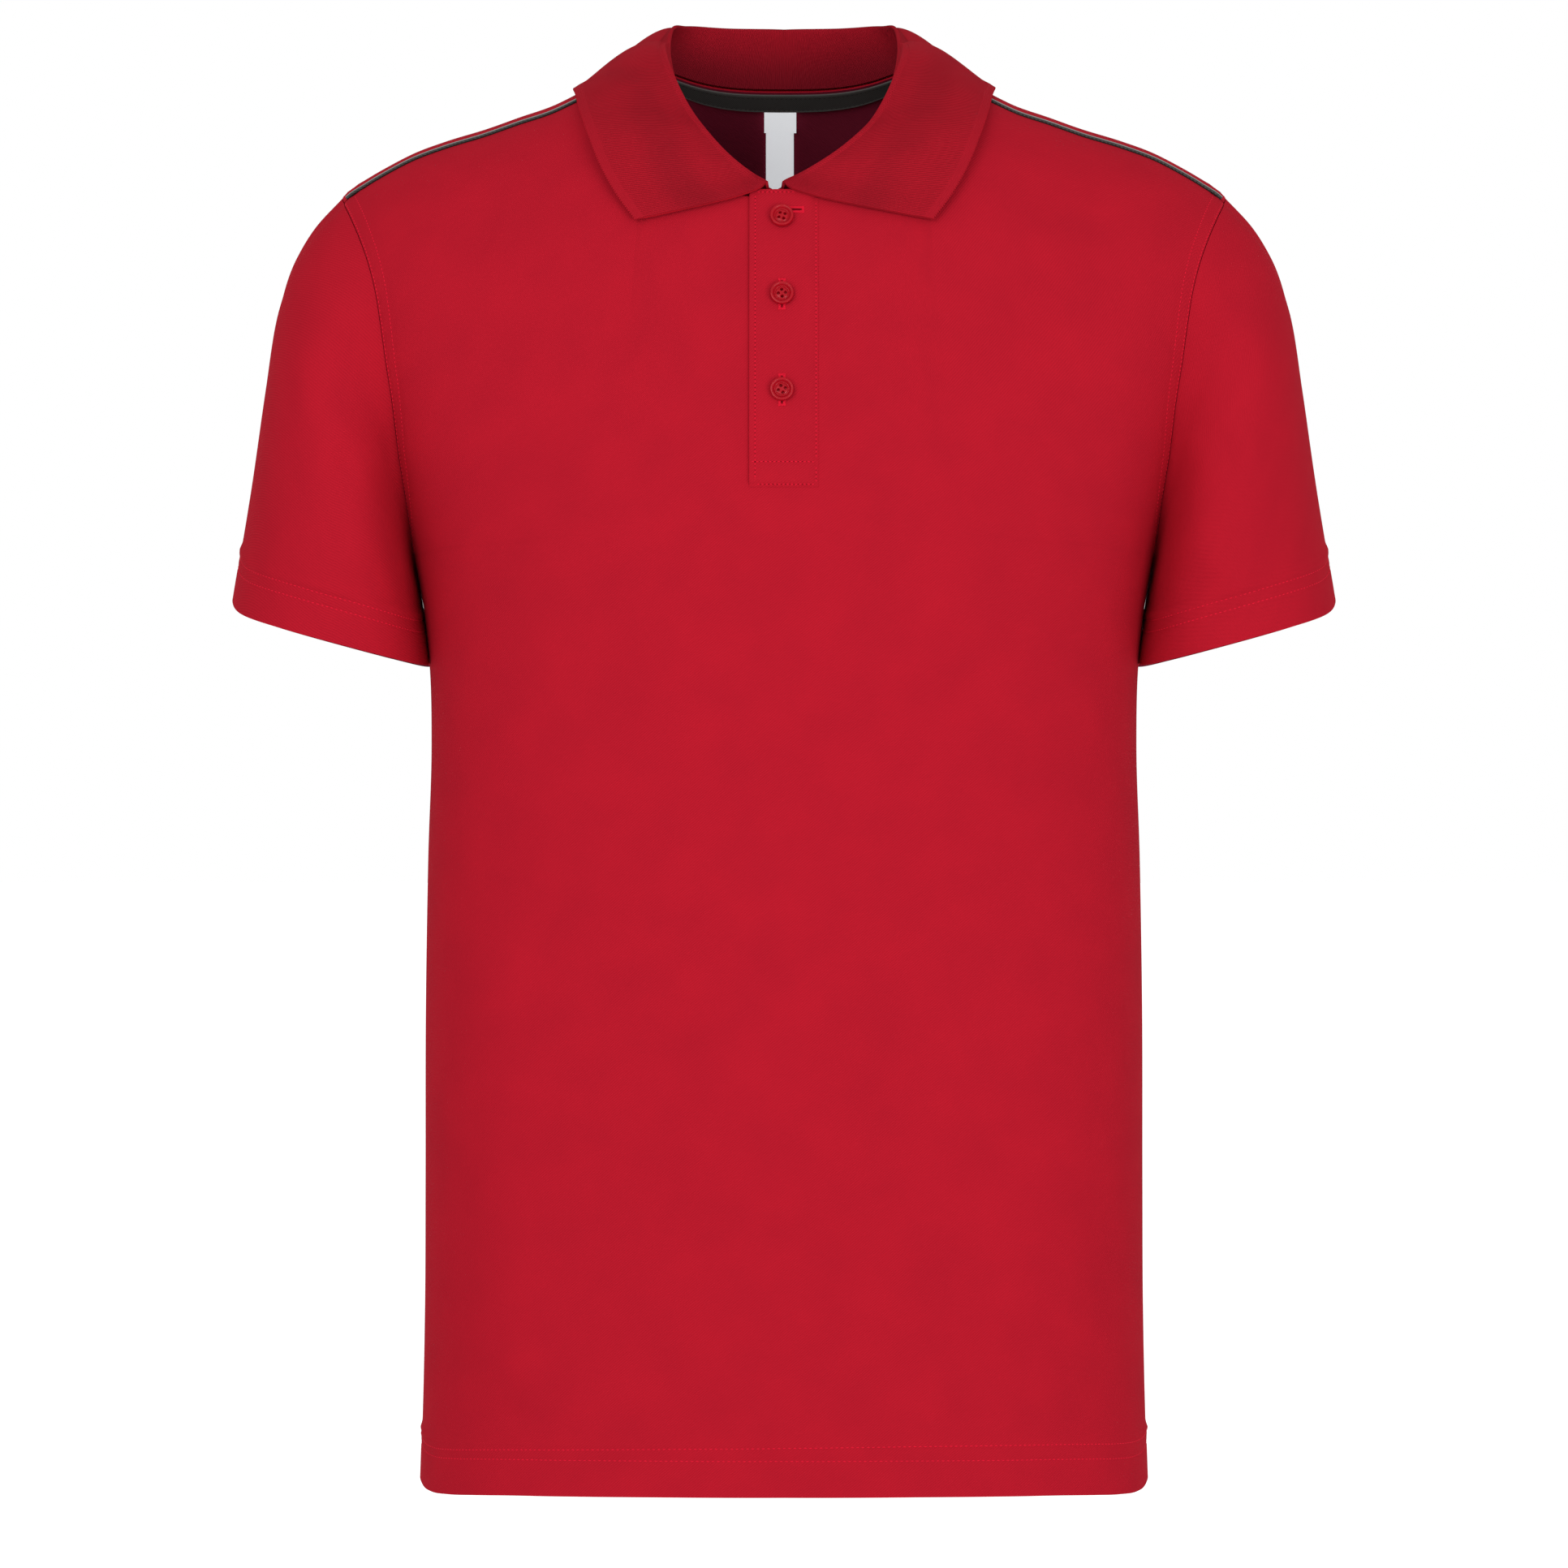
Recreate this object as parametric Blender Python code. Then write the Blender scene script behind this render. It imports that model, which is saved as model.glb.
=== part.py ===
# A short-sleeved polo shirt, filled out as if worn, with nobody in it.
# Metres, +Z up, +X to the viewer's right, the front faces -Y. The origin is at the base of the neck.
# Each piece of cloth is a thin closed wall between an outer and an inner sheet of points.
import bpy
import numpy as np

WALL = 0.0012               # body and sleeve knit
SEAM = 0.0003               # gap between pieces that are sewn together
COLLAR_WALL = 0.0018        # flat-knit rib
STRIP_WALL = 0.0014         # doubled placket strip
LABEL_WALL = 0.0010
PIPING_RADIUS = 0.0010
PIPING_SHORT_OF_NECK = 0.004
PIPING_SHORT_OF_ARMHOLE = 0.002
FIGURE_EXPONENT = 2.4       # rounds the rings of the general figure, 2 would be an ellipse
HEM_Z = -0.684
UNDERARM_Z = -0.2356
HEM_DIP_FROM_Z = -0.560     # the hem's drop at the sides fades out up to this height
SHOULDER_END_X = 0.2165
SEAM_FORWARD = 0.37         # radians that the shoulder seam lies in front of the shoulder line
NECK_HALF_WIDTH = 0.075
FRONT_NECK_DROP = 0.1605    # along the cloth, from the shoulder line to the front neck edge
BACK_NECK_DROP = 0.0824
SLOT_HALF_WIDTH = 0.0105    # the slit in the front, under the placket
SLOT_BOTTOM_Z = -0.190
LEVEL_BELOW_Z = -0.30       # rows of the body are level below this height
SLOT_SHARE = 0.07           # share of a panel's columns that runs over the slit
NECK_SHARE = 0.34           # share that ends on the neck edge
ROWS_BELOW_UNDERARM = 9
ROWS_ABOVE_UNDERARM = 14
TOP_ROW_SHARE = 0.984       # the last row below the neck edge, just under the tape
SLEEVE_GAP = 0.0009         # between the armhole edge and the sleeve
SLEEVE_ROUND = 0.9          # rounds the sleeve's sections, 1 would be an ellipse
SLEEVE_SETTLES = 0.55       # share of the sleeve over which the armhole's shape gives way to the oval
SIDE_GAP = 0.0010           # between the sleeve and the body's side, where it hangs against it
CUFF_SAG = 0.0064           # how far the cuff's front and back hang below its outer and under points

# The general figure, a row for each level ring: half width, front depth, back depth
FIGURE = {
    "z":     [-0.690, -0.660, -0.594, -0.540, -0.450, -0.378, -0.324, -0.288, -0.258, -0.2356,
              -0.206, -0.180, -0.140, -0.100, -0.066, -0.030, 0.030],
    "width": [0.1790, 0.1780, 0.1766, 0.1764, 0.1762, 0.1750, 0.1734, 0.1742, 0.1772, 0.1812,
              0.1890, 0.1985, 0.2145, 0.2275, 0.2380, 0.2480, 0.2600],
    "front": [0.1180, 0.1180, 0.1180, 0.1180, 0.1180, 0.1190, 0.1200, 0.1205, 0.1210, 0.1205,
              0.1190, 0.1165, 0.1100, 0.1000, 0.0900, 0.0830, 0.0800],
    "back":  [0.1150, 0.1150, 0.1145, 0.1140, 0.1125, 0.1115, 0.1120, 0.1130, 0.1140, 0.1145,
              0.1145, 0.1140, 0.1110, 0.1050, 0.0980, 0.0910, 0.0860],
}
# The shoulder line, and how large the round of the cloth over it is, by distance from the middle
SHOULDER = {
    "x":     [0.000, 0.050, 0.075, 0.102, 0.113, 0.130, 0.146, 0.166, 0.182, 0.194, 0.205, 0.215,
              0.2195, 0.240],
    "z":     [0.0300, 0.0200, 0.0095, -0.0044, -0.0098, -0.0157, -0.0214, -0.0275, -0.0334, -0.0395,
              -0.0458, -0.0525, -0.0575, -0.0800],
    "round": [0.120, 0.107, 0.096, 0.084, 0.080, 0.076, 0.074, 0.072, 0.071, 0.070, 0.070, 0.070,
              0.070, 0.070],
}
# How far the hem hangs down towards the sides, by distance from the middle
HEM_DIP = {
    "x":    [0.0000, 0.0800, 0.1100, 0.1340, 0.1500, 0.1630, 0.1715, 0.1755, 0.1790],
    "drop": [0.0000, 0.0004, 0.0010, 0.0018, 0.0029, 0.0040, 0.0042, 0.0032, 0.0000],
}
# The armhole seam: its distance from the middle by height
ARMHOLE = {
    "z": [-0.2356, -0.206, -0.182, -0.160, -0.140, -0.121, -0.106, -0.092, -0.077, -0.0656, -0.0578, -0.0500],
    "x": [0.1812, 0.1844, 0.1877, 0.1900, 0.1930, 0.1956, 0.1980, 0.2016, 0.2072, 0.2125, 0.2165, 0.2185],
}
# The sleeve, a row for each section from armhole to cuff: its outer and its under point, and its depth
SLEEVE = {
    "along":   [0.00, 0.08, 0.17, 0.34, 0.56, 0.78, 1.00],
    "outer_x": [0.2165, 0.2290, 0.2385, 0.2482, 0.2550, 0.2622, 0.2712],
    "outer_z": [-0.0560, -0.0690, -0.0830, -0.1085, -0.1500, -0.1990, -0.2528],
    "under_x": [0.1825, 0.1825, 0.1815, 0.1790, 0.1770, 0.1745, 0.1720],
    "under_z": [-0.2362, -0.2400, -0.2450, -0.2540, -0.2640, -0.2740, -0.2845],
    "front":   [0.0600, 0.0630, 0.0660, 0.0700, 0.0710, 0.0680, 0.0630],
    "back":    [0.0600, 0.0640, 0.0680, 0.0710, 0.0720, 0.0690, 0.0640],
}
# The collar, a row for each section from the middle of the back to the front end:
# where it rolls over, and where its leaf ends
COLLAR = {
    "turn":   [0.00, 0.16, 0.30, 0.40, 0.48, 0.56, 0.64, 0.72, 0.80, 0.88, 0.95, 1.00],
    "roll_x": [0.0000, 0.0280, 0.0490, 0.0560, 0.0572, 0.0546, 0.0500, 0.0436, 0.0353, 0.0240, 0.0120, 0.0045],
    "roll_y": [0.0560, 0.0520, 0.0390, 0.0180, -0.0080, -0.0330, -0.0500, -0.0620, -0.0700, -0.0765,
               -0.0805, -0.0822],
    "roll_z": [0.0310, 0.0315, 0.0320, 0.0290, 0.0160, 0.0008, -0.0122, -0.0245, -0.0351, -0.0470,
               -0.0565, -0.0592],
    "edge_x": [0.0000, 0.0420, 0.0740, 0.0940, 0.1010, 0.1030, 0.1015, 0.0990, 0.0945, 0.0880, 0.0800, 0.0713],
    "edge_y": [0.0960, 0.0900, 0.0700, 0.0420, 0.0180, -0.0050, -0.0300, -0.0500, -0.0680, -0.0800,
               -0.0880, -0.0930],
    "edge_z": [-0.0200, -0.0205, -0.0160, -0.0090, -0.0035, -0.0025, -0.0070, -0.0165, -0.0300, -0.0465,
               -0.0610, -0.0730],
}
COLLAR_ENDS_X = {-1: -0.0055, 1: -0.0030}   # where each front end of the collar starts on the placket
COLLAR_LEAD = 0.0015                        # the collar's lower edge, above the neck edge
COLLAR_FOLD_RADIUS = 0.0022
LEAF_CLEARANCE = 0.0031                     # the leaf's middle sheet, above the body
LEAF_SWELL = 0.0040                         # how far the leaf stands above a straight fall
SHOULDER_SWELL = 0.0075                     # and how much more over the shoulder
FRONT_EDGE_BOW = 0.0040                     # how far the leaf's front edge bows down

PLACKET = {"left": -0.0166, "right": 0.0164, "top": -0.0585, "bottom": -0.2025}
UNDER_PLACKET = {"left": -0.0150, "right": 0.0150, "top": -0.0650, "bottom": -0.1985}
BUTTON_HEIGHTS = [-0.0725, -0.1101, -0.1563]
BUTTON_X = -0.0010
BUTTON_RADIUS = 0.00575
BUTTON_THICKNESS = 0.0028

TAPE_WIDTH = 0.0104
TAPE_WALL = 0.0010
TAPE_GAP = 0.0013           # between the tape and the back's inner sheet
TAPE_SET_IN = 0.2           # share of a column that each end of the tape stops short
# The tab and the label, their tops and bottoms measured below the tape
TAB = {"left": -0.0100, "right": 0.0062, "top": 0.0002, "bottom": 0.0118}
LABEL = {"left": -0.0091, "right": 0.0049, "top": 0.0016, "bottom": 0.0480}

COLOURS = {
    "red_knit":  ((0.47, 0.012, 0.026, 1.0), 0.80),
    "red_rib":   ((0.43, 0.011, 0.023, 1.0), 0.85),
    "red_resin": ((0.42, 0.010, 0.020, 1.0), 0.25),
    "dark_tape": ((0.030, 0.028, 0.025, 1.0), 0.75),
    "white_satin": ((0.80, 0.80, 0.80, 1.0), 0.45),
}


def smooth(at, xs, ys):
    """A smooth curve through a table's points: cubic steps, each with the slope of its neighbours."""
    xs, ys = np.asarray(xs, float), np.asarray(ys, float)
    at = np.clip(at, xs[0], xs[-1])
    slope = np.gradient(ys, xs)
    i = np.clip(np.searchsorted(xs, at, side="right") - 1, 0, len(xs) - 2)
    step = xs[i + 1] - xs[i]
    t = (at - xs[i]) / step
    rise = ys[i] * (1 + 2 * t) * (1 - t) ** 2 + ys[i + 1] * t * t * (3 - 2 * t)
    return rise + step * (slope[i] * t * (1 - t) ** 2 - slope[i + 1] * t * t * (1 - t))


def ease(t):
    """0 to 1 with level ends."""
    t = np.clip(t, 0.0, 1.0)
    return t * t * (3 - 2 * t)


def figure_width(z):
    return smooth(z, FIGURE["z"], FIGURE["width"])


def shoulder_z(x):
    return smooth(np.abs(x), SHOULDER["x"], SHOULDER["z"])


def shoulder_round(x):
    return smooth(np.abs(x), SHOULDER["x"], SHOULDER["round"])


def on_figure(x, down, side):
    """A point of the figure: x across, and a length down from the shoulder line, on the front
    (side -1) or the back (side 1). A length below nought lies over the shoulder, on the other side.
    The cloth turns over the shoulder on a round of its own, then hangs level ring by level ring."""
    x, down = np.broadcast_arrays(np.asarray(x, float), np.asarray(down, float))
    radius = shoulder_round(x)
    angle = np.clip(down / radius, -np.pi / 2, np.pi / 2)
    hanging = np.maximum(np.abs(down) - radius * np.pi / 2, 0.0)
    z = shoulder_z(x) - radius * (1 - np.cos(angle)) - hanging
    facing = np.where(down < 0, -side, side)
    depth = np.where(facing < 0, smooth(z, FIGURE["z"], FIGURE["front"]), smooth(z, FIGURE["z"], FIGURE["back"]))
    across = np.minimum(np.abs(x) / figure_width(z), 1.0)
    ring = (1 - across ** FIGURE_EXPONENT) ** (1 / FIGURE_EXPONENT)
    return np.stack([x, side * depth * ring * np.sin(angle), z], axis=-1)


def down_at(x, z):
    """The length down from the shoulder line at which the figure has height z."""
    radius = shoulder_round(x)
    drop = shoulder_z(x) - z
    on_round = radius * np.arccos(np.clip(1 - drop / radius, -1.0, 1.0))
    return np.where(drop > radius, drop - radius + radius * np.pi / 2, on_round)


def front_at(x, z):
    """The front of the figure at x and height z."""
    return on_figure(x, down_at(x, z), -1)


def figure_gap(points):
    """How far each point is outside the figure, near enough: its excess over the ring, by the slope."""
    def excess(p):
        x, y, z = p[..., 0], p[..., 1], p[..., 2]
        depth = np.where(y < 0, smooth(z, FIGURE["z"], FIGURE["front"]), smooth(z, FIGURE["z"], FIGURE["back"]))
        across = np.minimum(np.abs(x) / figure_width(z), 0.98)
        ring = (1 - across ** FIGURE_EXPONENT) ** (1 / FIGURE_EXPONENT)
        over = np.maximum(1 - (shoulder_z(x) - z) / shoulder_round(x), 0.0)
        return (y / (depth * ring)) ** 2 + over ** 2 - 1

    here = excess(points)
    small = 1e-5
    slopes = [(excess(points + small * np.eye(3)[k]) - excess(points - small * np.eye(3)[k])) / (2 * small)
              for k in range(3)]
    slope = np.stack(slopes, axis=-1)
    steep = np.linalg.norm(slope, axis=-1)
    return here / steep, slope / steep[..., None]


def lifted(points, clearance):
    """The points, moved out of the figure where they come nearer to it than the clearance."""
    for _ in range(4):
        gap, outwards = figure_gap(points)
        points = points + np.maximum(clearance - gap, 0.0)[..., None] * outwards
    return points


def seam_down(x):
    """How far down the front the shoulder seam lies, which is brought forward of the shoulder line."""
    return SEAM_FORWARD * shoulder_round(x)


def seam_room(x):
    """Half the room between front and back at the shoulder seam, as a length down, for the piping."""
    step = 0.001
    ahead = on_figure(x, seam_down(x) + step, -1) - on_figure(x, seam_down(x), -1)
    return (PIPING_RADIUS + SEAM) * step / np.linalg.norm(ahead, axis=-1)


def armhole_x(z):
    return smooth(z, ARMHOLE["z"], ARMHOLE["x"])


def neck_edge(turn, side):
    """The neck edge across (turn 0 at the middle, 1 at the shoulder seam): a quarter ellipse drawn on
    the unrolled cloth, as x and length down."""
    angle = turn * np.pi / 2
    end = seam_down(NECK_HALF_WIDTH) * -side
    drop = FRONT_NECK_DROP if side < 0 else BACK_NECK_DROP
    return NECK_HALF_WIDTH * np.sin(angle), end + (drop - end) * np.cos(angle)


def side_edge(rows, side):
    """The panel's side seam and armhole edge, hem to shoulder: x, height and length down, each row."""
    x_end, z_end = SHOULDER_END_X, shoulder_z(SHOULDER_END_X)
    top = seam_down(x_end) * -side + seam_room(x_end)
    bottom = down_at(figure_width(HEM_Z), HEM_Z)
    down = bottom + (top - bottom) * rows
    x = np.full_like(down, x_end)
    for _ in range(12):
        radius = shoulder_round(x)
        angle = np.clip(down / radius, -np.pi / 2, np.pi / 2)
        hanging = np.maximum(np.abs(down) - radius * np.pi / 2, 0.0)
        z = shoulder_z(x) - radius * (1 - np.cos(angle)) - hanging
        wanted = np.where(z < UNDERARM_Z, figure_width(z), armhole_x(z))
        x = 0.5 * (x + wanted)
    return x, z, down


def hem_dip(points):
    """How far each point hangs below its level ring: the hem's drop, easing out up the body."""
    low = ease((HEM_DIP_FROM_Z - points[..., 2]) / (HEM_DIP_FROM_Z - HEM_Z))
    return low * smooth(np.abs(points[..., 0]), HEM_DIP["x"], HEM_DIP["drop"])


def body_panel(side, rows, columns):
    """Half of a body panel on the figure: rows from hem to shoulder, columns from middle to side.
    Level rows follow the ring; towards the top they bend to the neck edge and the shoulder seam."""
    x_side, z_side, down_side = side_edge(rows, side)
    x_side, z_side, down_side = x_side[:, None], z_side[:, None], down_side[:, None]
    share = np.clip((columns - SLOT_SHARE) / (1 - SLOT_SHARE), 0.0, 1.0)[None, :]

    def ring_x(x_end, z_end):
        width = figure_width(z_end)
        power = FIGURE_EXPONENT / 2
        first = np.arcsin((SLOT_HALF_WIDTH / width) ** power)
        last = np.arcsin(np.minimum(x_end / width, 1.0) ** power)
        beyond = width * np.sin(first + (last - first) * share) ** (1 / power)
        return np.where(columns[None, :] < SLOT_SHARE, SLOT_HALF_WIDTH * columns[None, :] / SLOT_SHARE, beyond)

    def level_down(x, x_end, down_end):
        return (down_end + shoulder_z(x) - shoulder_z(x_end)
                + (np.pi / 2 - 1) * (shoulder_round(x) - shoulder_round(x_end)))

    slot_turn = np.arcsin(SLOT_HALF_WIDTH / NECK_HALF_WIDTH) / (np.pi / 2)
    turn = np.where(columns < SLOT_SHARE, slot_turn * columns / SLOT_SHARE,
                    slot_turn + (1 - slot_turn) * (columns - SLOT_SHARE) / (NECK_SHARE - SLOT_SHARE))
    neck_x, neck_down = neck_edge(np.minimum(turn, 1.0), side)
    neck_x = np.where(columns < SLOT_SHARE, SLOT_HALF_WIDTH * columns / SLOT_SHARE, neck_x)
    out = np.clip((columns - NECK_SHARE) / (1 - NECK_SHARE), 0.0, 1.0)
    shoulder_x = NECK_HALF_WIDTH + (x_side[-1, 0] - NECK_HALF_WIDTH) * out
    seam_x = np.where(columns < NECK_SHARE, neck_x, shoulder_x)
    seam_edge = seam_down(seam_x) * -side + seam_room(seam_x)
    neck_join = neck_down + seam_room(NECK_HALF_WIDTH) * np.clip(turn, 0, 1) ** 6
    seam_line = np.where(columns < NECK_SHARE, neck_join, seam_edge)

    level_x = ring_x(x_side, z_side)
    level = level_down(level_x, x_side, down_side)
    top_x = ring_x(x_side[-1:], z_side[-1:])
    top = level_down(top_x, x_side[-1:], down_side[-1:])
    start = down_at(figure_width(LEVEL_BELOW_Z), LEVEL_BELOW_Z)
    bend = ease((start - down_side) / (start - down_side[-1:]))
    x = level_x + bend * (seam_x[None, :] - top_x)
    down = level + bend * (seam_line[None, :] - top)
    points = on_figure(x, down, side)
    points[..., 2] -= hem_dip(points)
    return points


def whole_panel(half):
    """Both halves of a panel: the half given, and its mirror image on the other side."""
    mirrored = half[:, :0:-1] * np.array([-1.0, 1.0, 1.0])
    return np.concatenate([mirrored, half], axis=1)


def outward(grid, wrap=False):
    """Unit directions square to a grid of points, rows running up and columns running right."""
    if wrap:
        along = np.roll(grid, -1, axis=1) - np.roll(grid, 1, axis=1)
    else:
        along = np.gradient(grid, axis=1)
    up = np.gradient(grid, axis=0)
    direction = np.cross(along, up)
    return direction / np.linalg.norm(direction, axis=-1, keepdims=True)


def grid_faces(rows, columns, wrap=False, keep=None):
    """The quads of a grid, turned so that their front is on the side of outward()."""
    i, j = np.meshgrid(np.arange(rows - 1), np.arange(columns if wrap else columns - 1), indexing="ij")
    right = (j + 1) % columns
    faces = np.stack([i * columns + j, i * columns + right, (i + 1) * columns + right, (i + 1) * columns + j],
                     axis=-1)
    return faces[keep] if keep is not None else faces.reshape(-1, 4)


def wall_mesh(outer, inner, faces):
    """A closed wall: the outer sheet, the inner sheet turned round, and a rim along every open edge."""
    outer, inner = outer.reshape(-1, 3), inner.reshape(-1, 3)
    used = np.unique(faces)
    place = np.full(len(outer), -1)
    place[used] = np.arange(len(used))
    faces = place[faces]
    count = len(used)
    edges = np.concatenate([np.roll(faces, -k, axis=1)[:, :2] for k in range(4)])
    seen = {tuple(edge) for edge in edges.tolist()}
    rim = [(b, a, a + count, b + count) for a, b in seen if (b, a) not in seen]
    points = np.concatenate([outer[used], inner[used]])
    return points, faces.tolist() + (faces[:, ::-1] + count).tolist() + rim


def add_piece(name, points, faces, finish):
    """A named object of a mesh with its own material, shaded smooth but for its rims."""
    mesh = bpy.data.meshes.new(name)
    mesh.from_pydata([tuple(p) for p in np.asarray(points).tolist()], [], [tuple(f) for f in faces])
    mesh.validate()
    mesh.shade_smooth()
    mesh.set_sharp_from_angle(angle=0.7)
    colour, roughness = COLOURS[finish]
    material = bpy.data.materials.new(name + "_" + finish)
    material.use_nodes = True
    shader = material.node_tree.nodes["Principled BSDF"]
    shader.inputs["Base Color"].default_value = colour
    shader.inputs["Roughness"].default_value = roughness
    shader.inputs["Metallic"].default_value = 0.0
    mesh.materials.append(material)
    piece = bpy.data.objects.new(name, mesh)
    bpy.context.scene.collection.objects.link(piece)
    return piece


def panel_rows(side):
    """Row places from hem to shoulder: wide up to the underarm, then close."""
    bottom = down_at(figure_width(HEM_Z), HEM_Z)
    underarm = down_at(armhole_x(UNDERARM_Z), UNDERARM_Z)
    top = seam_down(SHOULDER_END_X) * -side + seam_room(SHOULDER_END_X)
    share = (bottom - underarm) / (bottom - top)
    return np.concatenate([np.linspace(0.0, share, ROWS_BELOW_UNDERARM + 1)[:-1],
                           np.linspace(share, TOP_ROW_SHARE, ROWS_ABOVE_UNDERARM), [1.0]])


def panel_columns():
    """Column places from the middle to the side: the slit, the neck edge, then the shoulder seam."""
    over_neck = np.linspace(SLOT_SHARE, NECK_SHARE, 7)[:-1]
    return np.concatenate([[0.0], over_neck, np.linspace(NECK_SHARE, 1.0, 12)])


def panel_grid(side):
    """The outer points of the front or the back, and the directions square to them."""
    grid = whole_panel(body_panel(side, panel_rows(side), panel_columns()))
    if side > 0:
        grid = grid[:, ::-1]
    return grid, outward(grid)


def make_body(name, side):
    """The front or the back: walled inwards, kept on its own side of the side seam, the front with its slit."""
    grid, across = panel_grid(side)
    inner = grid - WALL * across
    side_seam = grid[:, 0, 2] < UNDERARM_Z + SEAM
    for sheet in (grid, inner):
        sheet[side_seam, :, 1] = side * np.maximum(side * sheet[side_seam, :, 1], SEAM / 2)
    keep = np.ones((grid.shape[0] - 1, grid.shape[1] - 1), bool)
    if side < 0:
        middle = grid.shape[1] // 2
        above = grid[:-1, middle, 2] > SLOT_BOTTOM_Z
        keep[above, middle - 1:middle + 1] = False
    return add_piece(name, *wall_mesh(grid, inner, grid_faces(*grid.shape[:2], keep=keep)), "red_knit")


def armhole_loop():
    """The panels' own edge points round the right armhole: down the front from the shoulder seam to the
    underarm, and up the back."""
    front, _ = panel_grid(-1)
    back, _ = panel_grid(1)
    down_front = front[ROWS_BELOW_UNDERARM:, -1][::-1]
    up_back = back[ROWS_BELOW_UNDERARM + 1:, 0]
    return np.concatenate([down_front, up_back])


def side_x(points):
    """How far out the body's side is at each point's depth and height."""
    y, z = points[..., 1], points[..., 2]
    depth = np.where(y < 0, smooth(z, FIGURE["z"], FIGURE["front"]), smooth(z, FIGURE["z"], FIGURE["back"]))
    ring = (1 - np.minimum(np.abs(y) / depth, 1.0) ** FIGURE_EXPONENT) ** (1 / FIGURE_EXPONENT)
    return np.minimum(figure_width(z), armhole_x(UNDERARM_Z)) * ring


def sleeve_grid(along):
    """The right sleeve, its rows from armhole to cuff: each section is an oval between its outer and its
    under point. At the armhole it takes the armhole's own shape, and it hangs clear of the body's side."""
    edge = armhole_loop()
    steps = np.linalg.norm(np.diff(edge, axis=0, append=edge[:1]), axis=1)
    length = np.concatenate([[0.0], np.cumsum(steps)])
    at = length[:-1] + steps[-1] / 2
    lowest = at[ROWS_ABOVE_UNDERARM]
    angle = np.where(at < lowest, np.pi * at / lowest, np.pi * (1 + (at - lowest) / (length[-1] - lowest)))[None, :]
    part = {key: smooth(along, SLEEVE["along"], SLEEVE[key])[:, None] for key in SLEEVE if key != "along"}
    reach = np.sign(np.cos(angle)) * np.abs(np.cos(angle)) ** SLEEVE_ROUND
    sideways = np.sign(np.sin(angle)) * np.abs(np.sin(angle)) ** SLEEVE_ROUND
    depth = np.where(sideways > 0, part["front"], part["back"])
    sag = CUFF_SAG * ease((along - 0.35) / 0.5)[:, None] * (1 + 0.4 * reach) * np.abs(np.sin(angle)) ** 0.7
    oval = np.stack([(part["outer_x"] + part["under_x"]) / 2 + reach * (part["outer_x"] - part["under_x"]) / 2,
                     -sideways * depth,
                     (part["outer_z"] + part["under_z"]) / 2 + reach * (part["outer_z"] - part["under_z"]) / 2 - sag],
                    axis=-1)
    spread = (edge - edge.mean(axis=0)) * np.array([0.0, 1.0, 1.0])
    spread = spread / np.linalg.norm(spread, axis=1, keepdims=True)
    start = edge + SLEEVE_GAP * np.array([1.0, 0.0, 0.0]) + SEAM * spread
    grid = oval + (start - oval[:1]) * (1 - ease(along / SLEEVE_SETTLES))[:, None, None]
    beside = grid[..., 2] < UNDERARM_Z
    grid[..., 0] = np.where(beside, np.maximum(grid[..., 0], side_x(grid) + SIDE_GAP), grid[..., 0])
    return grid


def make_sleeve(name, mirror):
    """A sleeve: the section grid walled inwards, mirrored for the left."""
    along = np.array([0.0, 0.04, 0.09, 0.15, 0.22, 0.31, 0.42, 0.54, 0.66, 0.78, 0.89, 1.0])
    grid = sleeve_grid(along)
    inner = grid - WALL * outward(grid, True)
    if mirror:
        flip = np.array([-1.0, 1.0, 1.0])
        grid, inner = grid[:, ::-1] * flip, inner[:, ::-1] * flip
    faces = grid_faces(*grid.shape[:2], wrap=True)
    return add_piece(name, *wall_mesh(grid, inner, faces), "red_knit")


def neck_point(turn, hand):
    """The neck seam from the middle of the back (turn 0) to the collar's front end (turn 1), on one hand.
    It follows the back's neck edge to the shoulder seam, then the front's."""
    ends = COLLAR_ENDS_X[hand] * hand
    last = np.arcsin(ends / NECK_HALF_WIDTH) / (np.pi / 2)
    at_shoulder = 0.46
    back = np.clip(turn / at_shoulder, 0.0, 1.0)
    front = np.clip((turn - at_shoulder) / (1 - at_shoulder), 0.0, 1.0)
    back_x, back_down = neck_edge(back, 1)
    front_x, front_down = neck_edge(1 - front * (1 - last), -1)
    on_back = on_figure(back_x, back_down, 1)
    on_front = on_figure(front_x, front_down, -1)
    point = np.where((turn <= at_shoulder)[:, None], on_back, on_front)
    _, out = figure_gap(point)
    return (point - COLLAR_WALL / 2 * out) * np.array([hand, 1.0, 1.0])


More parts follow.
